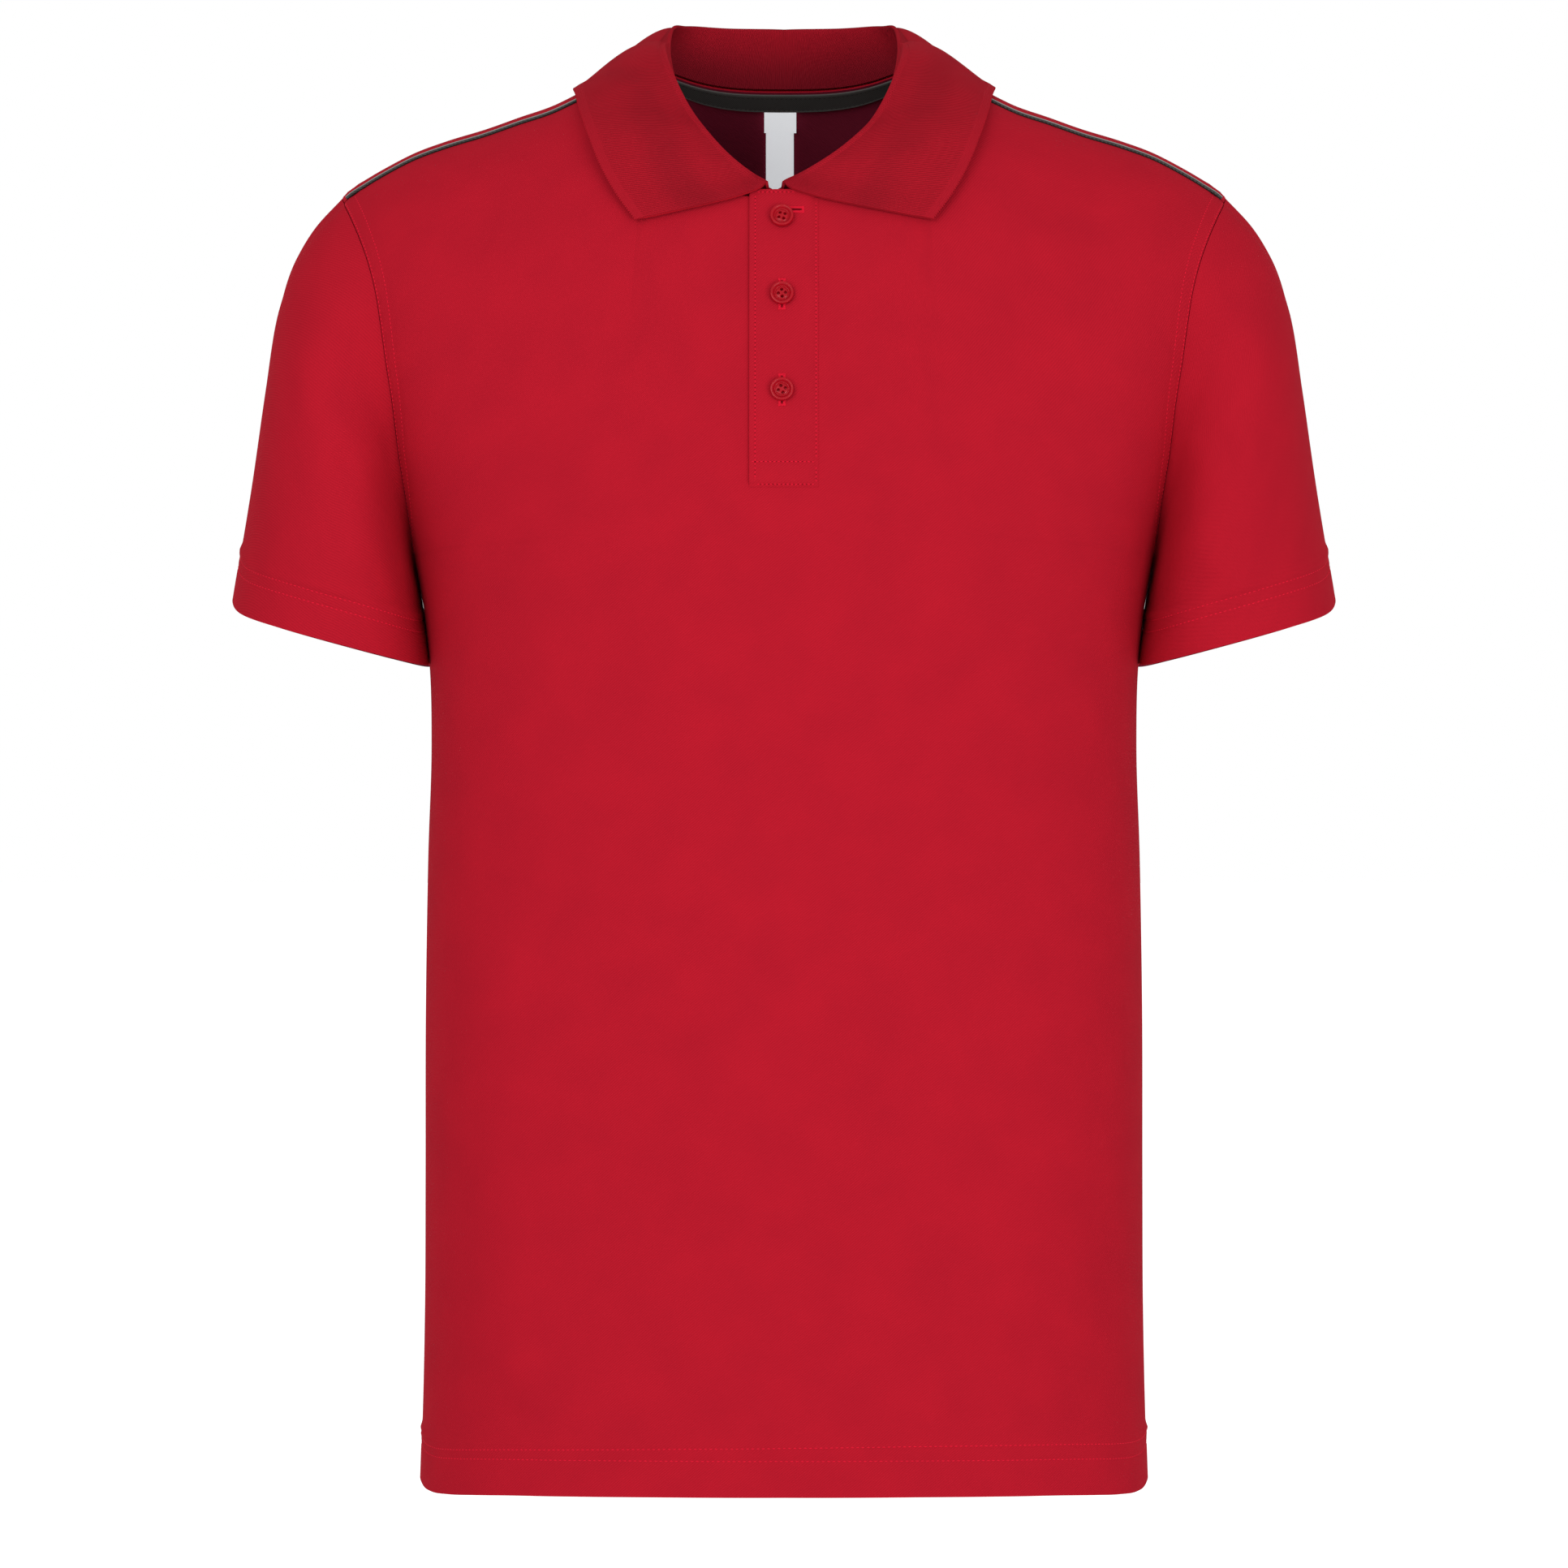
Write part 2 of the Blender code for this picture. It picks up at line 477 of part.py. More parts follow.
def collar_half(turns, steps_stand, steps_fold, steps_leaf, hand):
    """The middle sheet of one half of the collar, rows from the neck seam over the roll to the leaf's edge.
    The stand is a straight rise, the fold a half turn, the leaf an easy curve that stays clear of the body."""
    mirror = np.array([hand, 1.0, 1.0])
    roll = np.stack([smooth(turns, COLLAR["turn"], COLLAR["roll_" + k]) for k in "xyz"], axis=-1)
    edge = np.stack([smooth(turns, COLLAR["turn"], COLLAR["edge_" + k]) for k in "xyz"], axis=-1)
    shift = COLLAR_ENDS_X[hand] * hand - COLLAR["roll_x"][-1]
    roll[:, 0] += shift * ease((turns - 0.75) / 0.25)
    roll, edge = roll * mirror, edge * mirror
    seam = neck_point(turns, hand)
    rise = roll - seam
    rise = rise / np.linalg.norm(rise, axis=1, keepdims=True)
    seam = seam + COLLAR_LEAD * rise
    away = edge - roll
    away = away - np.sum(away * rise, axis=1, keepdims=True) * rise
    away = away / np.linalg.norm(away, axis=1, keepdims=True)
    rows = [seam + (roll - seam) * t for t in np.linspace(0.0, 1.0, steps_stand)[:-1]]
    over_shoulder = np.exp(-((turns - 0.42) / 0.13) ** 2)
    fold_end = np.pi * (0.9 - 0.42 * over_shoulder)[:, None]
    radius = COLLAR_FOLD_RADIUS * (1 + 0.8 * over_shoulder)[:, None]
    for share in np.linspace(0.0, 1.0, steps_fold):
        angle = share * fold_end
        turned_over = roll + radius * ((1 - np.cos(angle)) * away + np.sin(angle) * rise)
        rows.append(lifted(turned_over, LEAF_CLEARANCE) if share > 0.55 else turned_over)
    leaf_start = rows[-1]
    swell = LEAF_SWELL * (1 - 0.6 * ease(turns)) + SHOULDER_SWELL * over_shoulder
    bow = FRONT_EDGE_BOW * ease((turns - 0.86) / 0.14)
    for t in np.linspace(0.0, 1.0, steps_leaf + 1)[1:]:
        stands = swell * np.sin(np.pi * t ** 0.8) - bow * np.sin(np.pi * t ** 0.65)
        rows.append(lifted(leaf_start + (edge - leaf_start) * t + stands[:, None] * np.array([0.0, 0.0, 1.0]),
                           LEAF_CLEARANCE))
    return np.stack(rows)


def make_collar():
    """The collar: two halves joined at the middle of the back, walled both ways from the middle sheet."""
    turns = np.concatenate([np.linspace(0.0, 0.9, 17), [0.95, 1.0]])
    right = collar_half(turns, 5, 5, 8, 1)
    left = collar_half(turns, 5, 5, 8, -1)
    grid = np.concatenate([left[:, :0:-1], right], axis=1)
    across = outward(grid)
    first, second = grid + COLLAR_WALL / 2 * across, grid - COLLAR_WALL / 2 * across
    faces = grid_faces(*grid.shape[:2])
    return add_piece("collar", *wall_mesh(first, second, faces), "red_rib")


def strip_on_front(box, height, wall):
    """A strip made from the front's own points, moved out (height above nought) or in. Its rows and
    columns are the front's, between the strip's own edges."""
    grid, _ = panel_grid(-1)
    middle = grid.shape[1] // 2
    rows = [z for z in grid[:, middle, 2] if box["bottom"] + 0.003 < z < box["top"] - 0.003]
    x, z = np.meshgrid([box["left"], -SLOT_HALF_WIDTH, 0.0, SLOT_HALF_WIDTH, box["right"]],
                       [box["bottom"], *rows, box["top"]])
    sheet = front_at(x, z)
    across = outward(sheet)
    faces = grid_faces(*sheet.shape[:2])
    return wall_mesh(sheet + (height + wall) * across, sheet + height * across, faces)


def make_plackets():
    """The buttonhole strip on the front, and the button strip inside it."""
    add_piece("placket_top", *strip_on_front(PLACKET, SEAM, STRIP_WALL), "red_knit")
    add_piece("placket_under", *strip_on_front(UNDER_PLACKET, -(WALL + SEAM + STRIP_WALL), STRIP_WALL), "red_knit")


def turned(profile, sides, centre, across, up, out):
    """A profile of radius and height turned round an axis that points out of the cloth."""
    angle = np.linspace(0.0, 2 * np.pi, sides, endpoint=False)
    ring = np.cos(angle)[:, None] * across + np.sin(angle)[:, None] * up
    return np.concatenate([centre + radius * ring + height * out for radius, height in profile])


def make_button(name, z):
    """A button: a turned disc with a rounded rim and a shallow dish."""
    centre = front_at(np.array(BUTTON_X), np.array(z))
    small = 0.002
    up = front_at(np.array(BUTTON_X), np.array(z + small)) - front_at(np.array(BUTTON_X), np.array(z - small))
    up = up / np.linalg.norm(up)
    across = np.array([1.0, 0.0, 0.0])
    out = np.cross(across, up)
    centre = centre + out * (SEAM + STRIP_WALL + SEAM)
    t, r = BUTTON_THICKNESS, BUTTON_RADIUS
    profile = [(r * 0.80, 0.0), (r, t * 0.35), (r, t * 0.70), (r * 0.88, t), (r * 0.74, t), (r * 0.56, t * 0.62)]
    sides = 20
    points = turned(profile, sides, centre, across, up, out)
    points = np.concatenate([points, [centre, centre + out * t * 0.60]])
    faces = []
    for ring in range(len(profile) - 1):
        for k in range(sides):
            n = (k + 1) % sides
            faces.append((ring * sides + k, ring * sides + n, (ring + 1) * sides + n, (ring + 1) * sides + k))
    last = (len(profile) - 1) * sides
    for k in range(sides):
        n = (k + 1) % sides
        faces.append((n, k, len(points) - 2))
        faces.append((last + k, last + n, len(points) - 1))
    return add_piece(name, points, faces, "red_resin")


def below_neck(columns, lengths):
    """Points of the back below its neck edge, and their directions: down its own columns of points, which
    may be fractions, by lengths along the cloth. Rows run up."""
    grid, across = panel_grid(1)
    left = np.floor(columns).astype(int)
    share = (columns - left)[None, :, None]
    right = np.minimum(left + 1, grid.shape[1] - 1)
    lines = grid[::-1, left] * (1 - share) + grid[::-1, right] * share
    sides = across[::-1, left] * (1 - share) + across[::-1, right] * share
    points = np.zeros((len(lengths), len(columns), 3))
    ways = np.zeros_like(points)
    for k in range(len(columns)):
        run = np.concatenate([[0.0], np.cumsum(np.linalg.norm(np.diff(lines[:, k], axis=0), axis=1))])
        for axis in range(3):
            points[::-1, k, axis] = np.interp(lengths, run, lines[:, k, axis])
            ways[::-1, k, axis] = np.interp(lengths, run, sides[:, k, axis])
    return points, ways


def add_neck_strip(name, columns, lengths, height, wall, finish):
    """A strip inside the back of the neck, as far in from the back's outer sheet as its height."""
    points, ways = below_neck(columns, lengths)
    faces = grid_faces(len(lengths), len(columns))
    return add_piece(name, *wall_mesh(points - height * ways, points - (height + wall) * ways, faces), finish)


def make_neck_trim():
    """The tape over the back neck seam, and the bare tab and label that hang below it."""
    middle = len(panel_columns()) - 1
    reach = np.searchsorted(panel_columns(), NECK_SHARE)
    columns = np.arange(middle - reach + 1, middle + reach).astype(float)
    columns[0] += TAPE_SET_IN
    columns[-1] -= TAPE_SET_IN
    lengths = np.array([SEAM, TAPE_WIDTH / 2, TAPE_WIDTH])
    add_neck_strip("neck_tape", columns, lengths, WALL + TAPE_GAP, TAPE_WALL, "dark_tape")
    lower = TAPE_WIDTH + SEAM
    for name, box, height in (("neck_label", LABEL, WALL + SEAM), ("size_tab", TAB, WALL + LABEL_WALL + 2 * SEAM)):
        across = np.array([box["left"], 0.0, box["right"]])
        lengths = np.linspace(lower + box["top"], lower + box["bottom"], 8)
        add_neck_strip(name, (middle - across / SLOT_HALF_WIDTH)[::-1], lengths, height, LABEL_WALL, "white_satin")


def make_piping(name, hand):
    """A cord in the shoulder seam, from the neck to the armhole: a circle carried along the seam line."""
    columns = panel_columns()
    share = (columns[columns >= NECK_SHARE] - NECK_SHARE) / (1 - NECK_SHARE)
    x = NECK_HALF_WIDTH + (SHOULDER_END_X - NECK_HALF_WIDTH) * share
    x[0] += PIPING_SHORT_OF_NECK
    x[-1] -= PIPING_SHORT_OF_ARMHOLE
    path = on_figure(x, seam_down(x), -1) * np.array([hand, 1.0, 1.0])
    lead = np.gradient(path, axis=0)
    lead = lead / np.linalg.norm(lead, axis=1, keepdims=True)
    out = np.array([0.0, -0.35, 1.0]) - 0 * path
    out = out - np.sum(out * lead, axis=1, keepdims=True) * lead
    out = out / np.linalg.norm(out, axis=1, keepdims=True)
    across = np.cross(lead, out)
    sides = 8
    angle = np.linspace(0.0, 2 * np.pi, sides, endpoint=False)
    ring = np.cos(angle)[None, :, None] * across[:, None] + np.sin(angle)[None, :, None] * out[:, None]
    points = (path[:, None] + PIPING_RADIUS * ring).reshape(-1, 3)
    faces = grid_faces(len(x), sides, wrap=True)[:, ::-1].tolist()
    faces += [tuple(range(sides)), tuple((len(x) - 1) * sides + k for k in range(sides))[::-1]]
    return add_piece(name, points, faces, "dark_tape")


def main():
    for thing in list(bpy.data.objects):
        bpy.data.objects.remove(thing, do_unlink=True)
    make_body("front", -1)
    make_body("back", 1)
    make_sleeve("sleeve_right", False)
    make_sleeve("sleeve_left", True)
    make_collar()
    make_plackets()
    for number, z in enumerate(BUTTON_HEIGHTS, 1):
        make_button(f"button_{number}", z)
    make_neck_trim()
    make_piping("piping_right", 1)
    make_piping("piping_left", -1)


main()
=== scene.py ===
# The looks of a red polo shirt, filled out as if worn, with nobody in it.
# Metres, +Z up, +X to the viewer's right, the front faces -Y. Left is the viewer's left.
import bpy
import numpy as np
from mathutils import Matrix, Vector


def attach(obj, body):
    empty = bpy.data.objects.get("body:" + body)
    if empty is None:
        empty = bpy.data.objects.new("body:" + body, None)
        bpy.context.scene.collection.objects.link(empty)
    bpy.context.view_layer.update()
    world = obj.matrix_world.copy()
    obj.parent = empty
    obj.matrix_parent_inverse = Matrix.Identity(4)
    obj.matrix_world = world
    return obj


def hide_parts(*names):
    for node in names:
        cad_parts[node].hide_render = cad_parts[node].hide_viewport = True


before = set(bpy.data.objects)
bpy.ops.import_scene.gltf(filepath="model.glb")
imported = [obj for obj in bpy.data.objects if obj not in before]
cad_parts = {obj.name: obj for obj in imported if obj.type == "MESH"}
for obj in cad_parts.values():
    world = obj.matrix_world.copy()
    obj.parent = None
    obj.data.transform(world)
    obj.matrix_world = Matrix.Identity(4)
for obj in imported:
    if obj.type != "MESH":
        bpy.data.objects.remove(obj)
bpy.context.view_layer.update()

# Walls, the room at the seams, and the cord in the shoulder seam
WALL = 0.0012
SEAM = 0.0003
COLLAR_WALL = 0.0018
STRIP_WALL = 0.0014
LABEL_WALL = 0.0010
PIPING_RADIUS = 0.0010
PIPING_SHORT_OF_NECK = 0.004
PIPING_SHORT_OF_ARMHOLE = 0.002
PIPING_FACES = (0.0, -0.35, 1.0)
PIPING_RINGS = 120
PIPING_SIDES = 16

# The panels: how square the figure's rings are, and where the panels' edges lie
FIGURE_EXPONENT = 2.4
HEM_Z = -0.684
UNDERARM_Z = -0.2356
HEM_DIP_FROM_Z = -0.560
SHOULDER_END_X = 0.2165
SEAM_FORWARD = 0.37
NECK_HALF_WIDTH = 0.075
FRONT_NECK_DROP = 0.1605
BACK_NECK_DROP = 0.0824
SLOT_HALF_WIDTH = 0.0105
SLOT_BOTTOM_Z = -0.190
LEVEL_BELOW_Z = -0.30
SLOT_SHARE = 0.07
NECK_SHARE = 0.34

# The sleeves: their clearances, how square their sections are, and where they take their own shape
SLEEVE_GAP = 0.0002
SLEEVE_ROUND = 0.9
SLEEVE_SETTLES = 0.55
CUFF_CLOSE_FROM = 0.82      # the share of a sleeve from which its rows lie closer
SIDE_GAP = 0.0008
CUFF_SAG = 0.0064

# Directions, and the steps over which slopes are taken: along a seam, in space and at a button
RIGHTWARDS = np.array([1.0, 0.0, 0.0])
UPWARDS = np.array([0.0, 0.0, 1.0])
MIRROR = np.array([-1.0, 1.0, 1.0])
SEAM_STEP = 0.001
SMALL_STEP = 1e-5
BUTTON_STEP = 0.002
NEAR_THE_SIDE = 0.98        # the share of a ring's width beyond which its slope isn't taken

# The general figure, ring by ring: half width, front depth, back depth
FIGURE = {
    "z":     [-0.690, -0.660, -0.594, -0.540, -0.450, -0.378, -0.324, -0.288, -0.258, -0.2356,
              -0.206, -0.180, -0.140, -0.100, -0.066, -0.030, 0.030],
    "width": [0.1790, 0.1780, 0.1766, 0.1764, 0.1762, 0.1750, 0.1734, 0.1742, 0.1772, 0.1812,
              0.1890, 0.1985, 0.2145, 0.2275, 0.2380, 0.2480, 0.2600],
    "front": [0.1180, 0.1180, 0.1180, 0.1180, 0.1180, 0.1190, 0.1200, 0.1205, 0.1210, 0.1205,
              0.1190, 0.1165, 0.1100, 0.1000, 0.0900, 0.0830, 0.0800],
    "back":  [0.1150, 0.1150, 0.1145, 0.1140, 0.1125, 0.1115, 0.1120, 0.1130, 0.1140, 0.1145,
              0.1145, 0.1140, 0.1110, 0.1050, 0.0980, 0.0910, 0.0860],
}
# The shoulder line, and how large the round of the cloth over it is, by distance from the middle
SHOULDER = {
    "x":     [-0.050, 0.000, 0.050, 0.075, 0.102, 0.113, 0.130, 0.146, 0.166, 0.182, 0.194, 0.205, 0.215,
              0.2195, 0.240],
    "z":     [0.0200, 0.0300, 0.0200, 0.0095, -0.0044, -0.0098, -0.0157, -0.0214, -0.0275, -0.0334, -0.0395,
              -0.0458, -0.0525, -0.0575, -0.0800],
    "round": [0.107, 0.120, 0.107, 0.096, 0.084, 0.080, 0.076, 0.074, 0.072, 0.071, 0.070, 0.070, 0.070,
              0.070, 0.070],
}
# How far the hem hangs down towards the sides, by distance from the middle
HEM_DIP = {
    "x":    [0.0000, 0.0800, 0.1100, 0.1340, 0.1500, 0.1630, 0.1715, 0.1755, 0.1790],
    "drop": [0.0000, 0.0004, 0.0010, 0.0018, 0.0029, 0.0040, 0.0042, 0.0032, 0.0000],
}
# The armhole seam: its distance from the middle by height
ARMHOLE = {
    "z": [-0.2356, -0.206, -0.182, -0.160, -0.140, -0.121, -0.106, -0.092, -0.077, -0.0656, -0.0578, -0.0500],
    "x": [0.1812, 0.1844, 0.1877, 0.1900, 0.1930, 0.1956, 0.1980, 0.2016, 0.2072, 0.2125, 0.2165, 0.2185],
}
# The sleeve, section by section from armhole to cuff: its outer and its under point, and its depth
SLEEVE = {
    "along":   [0.00, 0.08, 0.17, 0.34, 0.56, 0.78, 1.00],
    "outer_x": [0.2165, 0.2290, 0.2385, 0.2482, 0.2550, 0.2622, 0.2712],
    "outer_z": [-0.0560, -0.0690, -0.0830, -0.1085, -0.1500, -0.1990, -0.2528],
    "under_x": [0.1825, 0.1825, 0.1815, 0.1790, 0.1770, 0.1745, 0.1720],
    "under_z": [-0.2362, -0.2400, -0.2450, -0.2540, -0.2640, -0.2740, -0.2845],
    "front":   [0.0600, 0.0630, 0.0660, 0.0700, 0.0710, 0.0680, 0.0630],
    "back":    [0.0600, 0.0640, 0.0680, 0.0710, 0.0720, 0.0690, 0.0640],
}
# The collar, section by section from the middle of the back to the front end:
# where it rolls over, and where its leaf ends
COLLAR = {
    "turn":   [0.00, 0.16, 0.30, 0.40, 0.48, 0.56, 0.64, 0.72, 0.80, 0.88, 0.95, 1.00],
    "roll_x": [0.0000, 0.0280, 0.0490, 0.0560, 0.0572, 0.0546, 0.0500, 0.0436, 0.0353, 0.0240,
               0.0120, 0.0045],
    "roll_y": [0.0560, 0.0520, 0.0390, 0.0180, -0.0080, -0.0330, -0.0500, -0.0620, -0.0700, -0.0765,
               -0.0805, -0.0822],
    "roll_z": [0.0310, 0.0315, 0.0320, 0.0290, 0.0160, 0.0008, -0.0122, -0.0245, -0.0351, -0.0470,
               -0.0565, -0.0592],
    "edge_x": [0.0000, 0.0420, 0.0740, 0.0940, 0.1010, 0.1030, 0.1015, 0.0990, 0.0945, 0.0880,
               0.0800, 0.0713],
    "edge_y": [0.0960, 0.0900, 0.0700, 0.0420, 0.0180, -0.0050, -0.0300, -0.0500, -0.0680, -0.0800,
               -0.0880, -0.0930],
    "edge_z": [-0.0200, -0.0205, -0.0160, -0.0090, -0.0035, -0.0025, -0.0070, -0.0165, -0.0300, -0.0465,
               -0.0610, -0.0730],
}
COLLAR_ENDS_X = {-1: -0.0055, 1: -0.0030}   # where each front end of the collar starts on the placket
COLLAR_MEETS_SHOULDER = 0.46                # the turn at which the collar passes the shoulder seam
SWELL_TURN = 0.42                           # where its swell over the shoulder is highest
SWELL_SPREAD = 0.13                         # and how wide that swell is
COLLAR_CLOSE_FROM = 0.8                     # the turn from which the collar's columns lie closer
COLLAR_ENDS_FROM = 0.75                     # the turn from which the roll shifts to the end's own place
FRONT_EDGE_FROM = 0.86                      # and from which the leaf's edge bows
FOLD_ANGLE = 0.9                            # the fold's arc in half turns
FOLD_OPENS = 0.42                           # and how much less it is over the shoulder
FOLD_WIDENS = 0.8                           # how much larger its radius is there
FOLD_CLEARS_FROM = 0.55                     # the share of the fold from which it's kept off the body
COLLAR_LEAD = 0.0015                        # the collar's lower edge, above the neck edge
COLLAR_FOLD_RADIUS = 0.0022
LEAF_CLEARANCE = 0.0031                     # the leaf's middle sheet, above the body
LEAF_SWELL = 0.0040                         # how far the leaf stands above a straight fall
SHOULDER_SWELL = 0.0060                     # and how much more over the shoulder
FRONT_EDGE_BOW = 0.0040                     # how far the leaf's front edge bows down

PLACKET = {"left": -0.0166, "right": 0.0164, "top": -0.0585, "bottom": -0.2025}
UNDER_PLACKET = {"left": -0.0150, "right": 0.0150, "top": -0.0650, "bottom": -0.1985}
BUTTON_HEIGHTS = [-0.0725, -0.1101, -0.1563]
BUTTON_X = -0.0010
BUTTON_RADIUS = 0.00575
BUTTON_THICKNESS = 0.0028
TAPE_WIDTH = 0.0106
TAPE_WALL = 0.0010
TAPE_GAP = 0.0013
# The tab and the label, their tops and bottoms measured below the tape
TAB = {"left": -0.0100, "right": 0.0062, "top": 0.0002, "bottom": 0.0118}
LABEL = {"left": -0.0091, "right": 0.0049, "top": 0.0016, "bottom": 0.0480}

# How finely each sheet is laid out, in steps along it
HEM_STEPS = 30
BODY_STEPS = 104
CHEST_STEPS = 88
UNDERARM_ROW = HEM_STEPS + BODY_STEPS
SLOT_STEPS = 4
NECK_STEPS = 26
SIDE_STEPS = 54
SLEEVE_STEPS = 66
CUFF_STEPS = 34
COLLAR_STEPS = 110
COLLAR_END_STEPS = 44
STAND_STEPS = 14
FOLD_STEPS = 12
LEAF_STEPS = 46
STRIP_COLUMNS = 40
STRIP_ROWS = 150

# Sewing: where the rows of stitches run, measured from the edge beside them
HEM_WIDTH = 0.0242
HEM_LOWER_ROW = 0.0174
HEM_UPPER_ROW = 0.0232
HEM_LAYER = 0.0003
HEM_RIDGE = 0.0006
HEM_RIDGE_HALF_WIDTH = 0.0024
HEM_LAYER_EASES = 0.004     # the length over which the hem's second layer ends
HEM_CLOSE_ROWS = 0.030      # how far up the hem the sheet's rows lie close
HEM_ROW_WAVE = 0.0010       # how the hem's upper row of stitches strays: a wave, and a rise to the right
HEM_ROW_WAVE_TURNS = 9.0
HEM_ROW_RISE = 0.0040
HEM_PITCH = 0.0025
CUFF_WIDTH = 0.0250
CUFF_LOWER_ROW = 0.0165
CUFF_UPPER_ROW = 0.0222
CUFF_PITCH = 0.0024
ARMHOLE_ROWS = (0.0009, 0.0068)
ARMHOLE_PITCH = 0.0021
STITCH_GROOVE = 0.00035
STITCH_GROOVE_HALF_WIDTH = 0.0009
SEAM_DIP_HALF_WIDTH = 0.0030
NEEDLE_SINK = 0.00006
STITCH_FILL = 0.62          # a stitch's share of its pitch
THREAD_THICKNESS = 0.00060
THREAD_SINK = 0.00010
TAPE_THREAD_THICKNESS = 0.0004
SHARP_ANGLE = 0.9           # edges that turn by more than this, in radians, are shaded sharp
SIDE_SEAM_DIP = 0.0007
SHOULDER_SEAM_DIP = 0.0006
PLACKET_LEFT_ROW = -0.0138
PLACKET_RIGHT_ROW = 0.0153
PLACKET_TOP_ROW = -0.0600
PLACKET_BOX_ROWS = (-0.1906, -0.2013)
PLACKET_PITCH = 0.0020
TAPE_ROWS = (0.0020, 0.0089)
TAPE_PITCH = 0.0024
ALLOWANCE_DEPTH = 0.0024    # the side seam's allowance, below the figure
ALLOWANCE_WALL = 0.0008
ALLOWANCE_REACH = (-0.0030, 0.0085)
ALLOWANCE_STOPS = 0.004     # how far it stops short of the hem and of the underarm
STRIP_TAPER = 0.0012        # how much thinner the placket gets towards its sewn side
STRIP_SIDE_TAPER = 0.006    # over which width there, and over which length at its sewn end
STRIP_END_TAPER = 0.003
STRIP_EDGE = 0.0012         # how wide a strip's rounded edge is, and how far it rolls off
STRIP_ROLLS_OFF = 0.0004
PLACKET_CORNER = 0.0024
BUTTON_TURNS = (0.52, 0.10, 0.30)
# A buttonhole: its two lips, the bar at each end and the cut; a thread is its length and its thickness
LIP_ABOVE_CLOTH = 0.00015
LIP_PITCH = 0.00042
LIP_OUT = 0.0011
LIP_THREAD = (0.0015, 0.0005)
BAR_HALF_LENGTH = 0.0016
BAR_THREADS = 7
BAR_BEYOND = 0.0004
BAR_THREAD = (0.0014, 0.0006)
CUT_ABOVE_CLOTH = 0.0001
CUT_WIDTH = 0.0009
HOLE_HALF_LENGTH = 0.0070
TOP_HOLE = {"lengthways": False, "half_length": 0.0062, "shift_x": 0.0036, "shift_z": 0.0037}
SLEEVE_STEP = 0.0005        # how far the sleeve lies inside the panels' edge at the armhole
CREASE_FACING = 0.3         # the turn of the cloth over which the sleeve's creases come in
CREASES_PAST_ARMHOLE = 0.02
CREASES_PAST_SIDE = 0.08
BACK_CREASE_SHARE = 0.6     # how strong the sleeve's creases are at its back
LEAF_WAVE = 0.0004          # the leaf's soft wave: its height, its length for each radian, its reach
LEAF_WAVE_LENGTH = 0.021
LEAF_WAVE_REACH = 0.03
COLLAR_BORDER = 0.0042      # the plain knitted border along the collar's edge
COLLAR_EDGE_THINS = 0.35
SCALLOP_PITCH = 0.00127
SCALLOP_LENGTH = SCALLOP_PITCH * 0.98
SCALLOP_THICKNESS = 0.0013

# A button's face from rim to middle, in shares of its radius and thickness, and its holes
BUTTON_FACE = {
    "radius": [0.00, 0.38, 0.50, 0.57, 0.64, 0.72, 0.80, 0.90, 0.97, 1.00],
    "height": [0.66, 0.64, 0.56, 0.46, 0.54, 0.82, 0.98, 1.00, 0.88, 0.60],
}
BUTTON_BACK = {
    "radius": [0.70, 0.86, 0.96, 1.00],
    "height": [0.00, 0.04, 0.16, 0.34],
}
BUTTON_SIDES = 96
BUTTON_RINGS = 44
HOLE_PLACE = 0.30
HOLE_RADIUS = 0.115
HOLE_LIP = 0.03
HOLE_DEPTH = 0.70

# Creases, one after another, in the front view: from, to, half width, height (a trough below 0)
CREASE_COLUMNS = ("x0", "z0", "x1", "z1", "half_width", "height")
CREASE_FADE = 0.4           # the share of its length over which a crease fades out at each end
FRONT_CREASES = {
    "x0":         [-0.095, 0.100, -0.012, 0.055, -0.080, -0.150, 0.150, -0.176, 0.176, -0.166, -0.060, 0.075],
    "z0":         [-0.040, -0.040, -0.330, -0.330, -0.566, -0.330, -0.330, -0.606, -0.606, -0.640,
                   -0.215, -0.215],
    "x1":         [-0.175, 0.178, -0.018, 0.050, 0.060, -0.120, 0.118, -0.110, 0.112, -0.110, -0.140, 0.150],
    "z1":         [-0.090, -0.088, -0.690, -0.690, -0.567, -0.700, -0.700, -0.630, -0.632, -0.652,
                   -0.250, -0.250],
    "half_width": [0.018, 0.018, 0.040, 0.030, 0.010, 0.026, 0.026, 0.012, 0.012, 0.010, 0.026, 0.026],
    "height":     [-0.0026, -0.0024, 0.0048, -0.0042, -0.0011, 0.0034, 0.0030, 0.0018, 0.0018, -0.0012,
                   0.0024, 0.0024],
}
BACK_CREASES = {
    "x0":         [-0.100, 0.098, 0.020, -0.050, 0.078, 0.148, -0.146, 0.174, -0.174, 0.070],
    "z0":         [-0.030, -0.034, -0.260, -0.300, -0.550, -0.330, -0.330, -0.600, -0.612, -0.200],
    "x1":         [-0.176, 0.172, 0.024, -0.046, -0.060, 0.120, -0.116, 0.110, -0.112, 0.150],
    "z1":         [-0.100, -0.096, -0.690, -0.690, -0.556, -0.700, -0.700, -0.628, -0.634, -0.236],
    "half_width": [0.018, 0.017, 0.038, 0.030, 0.011, 0.026, 0.025, 0.012, 0.013, 0.026],
    "height":     [-0.0025, -0.0024, 0.0045, -0.0040, -0.0012, 0.0032, 0.0030, 0.0018, 0.0017, 0.0024],
}
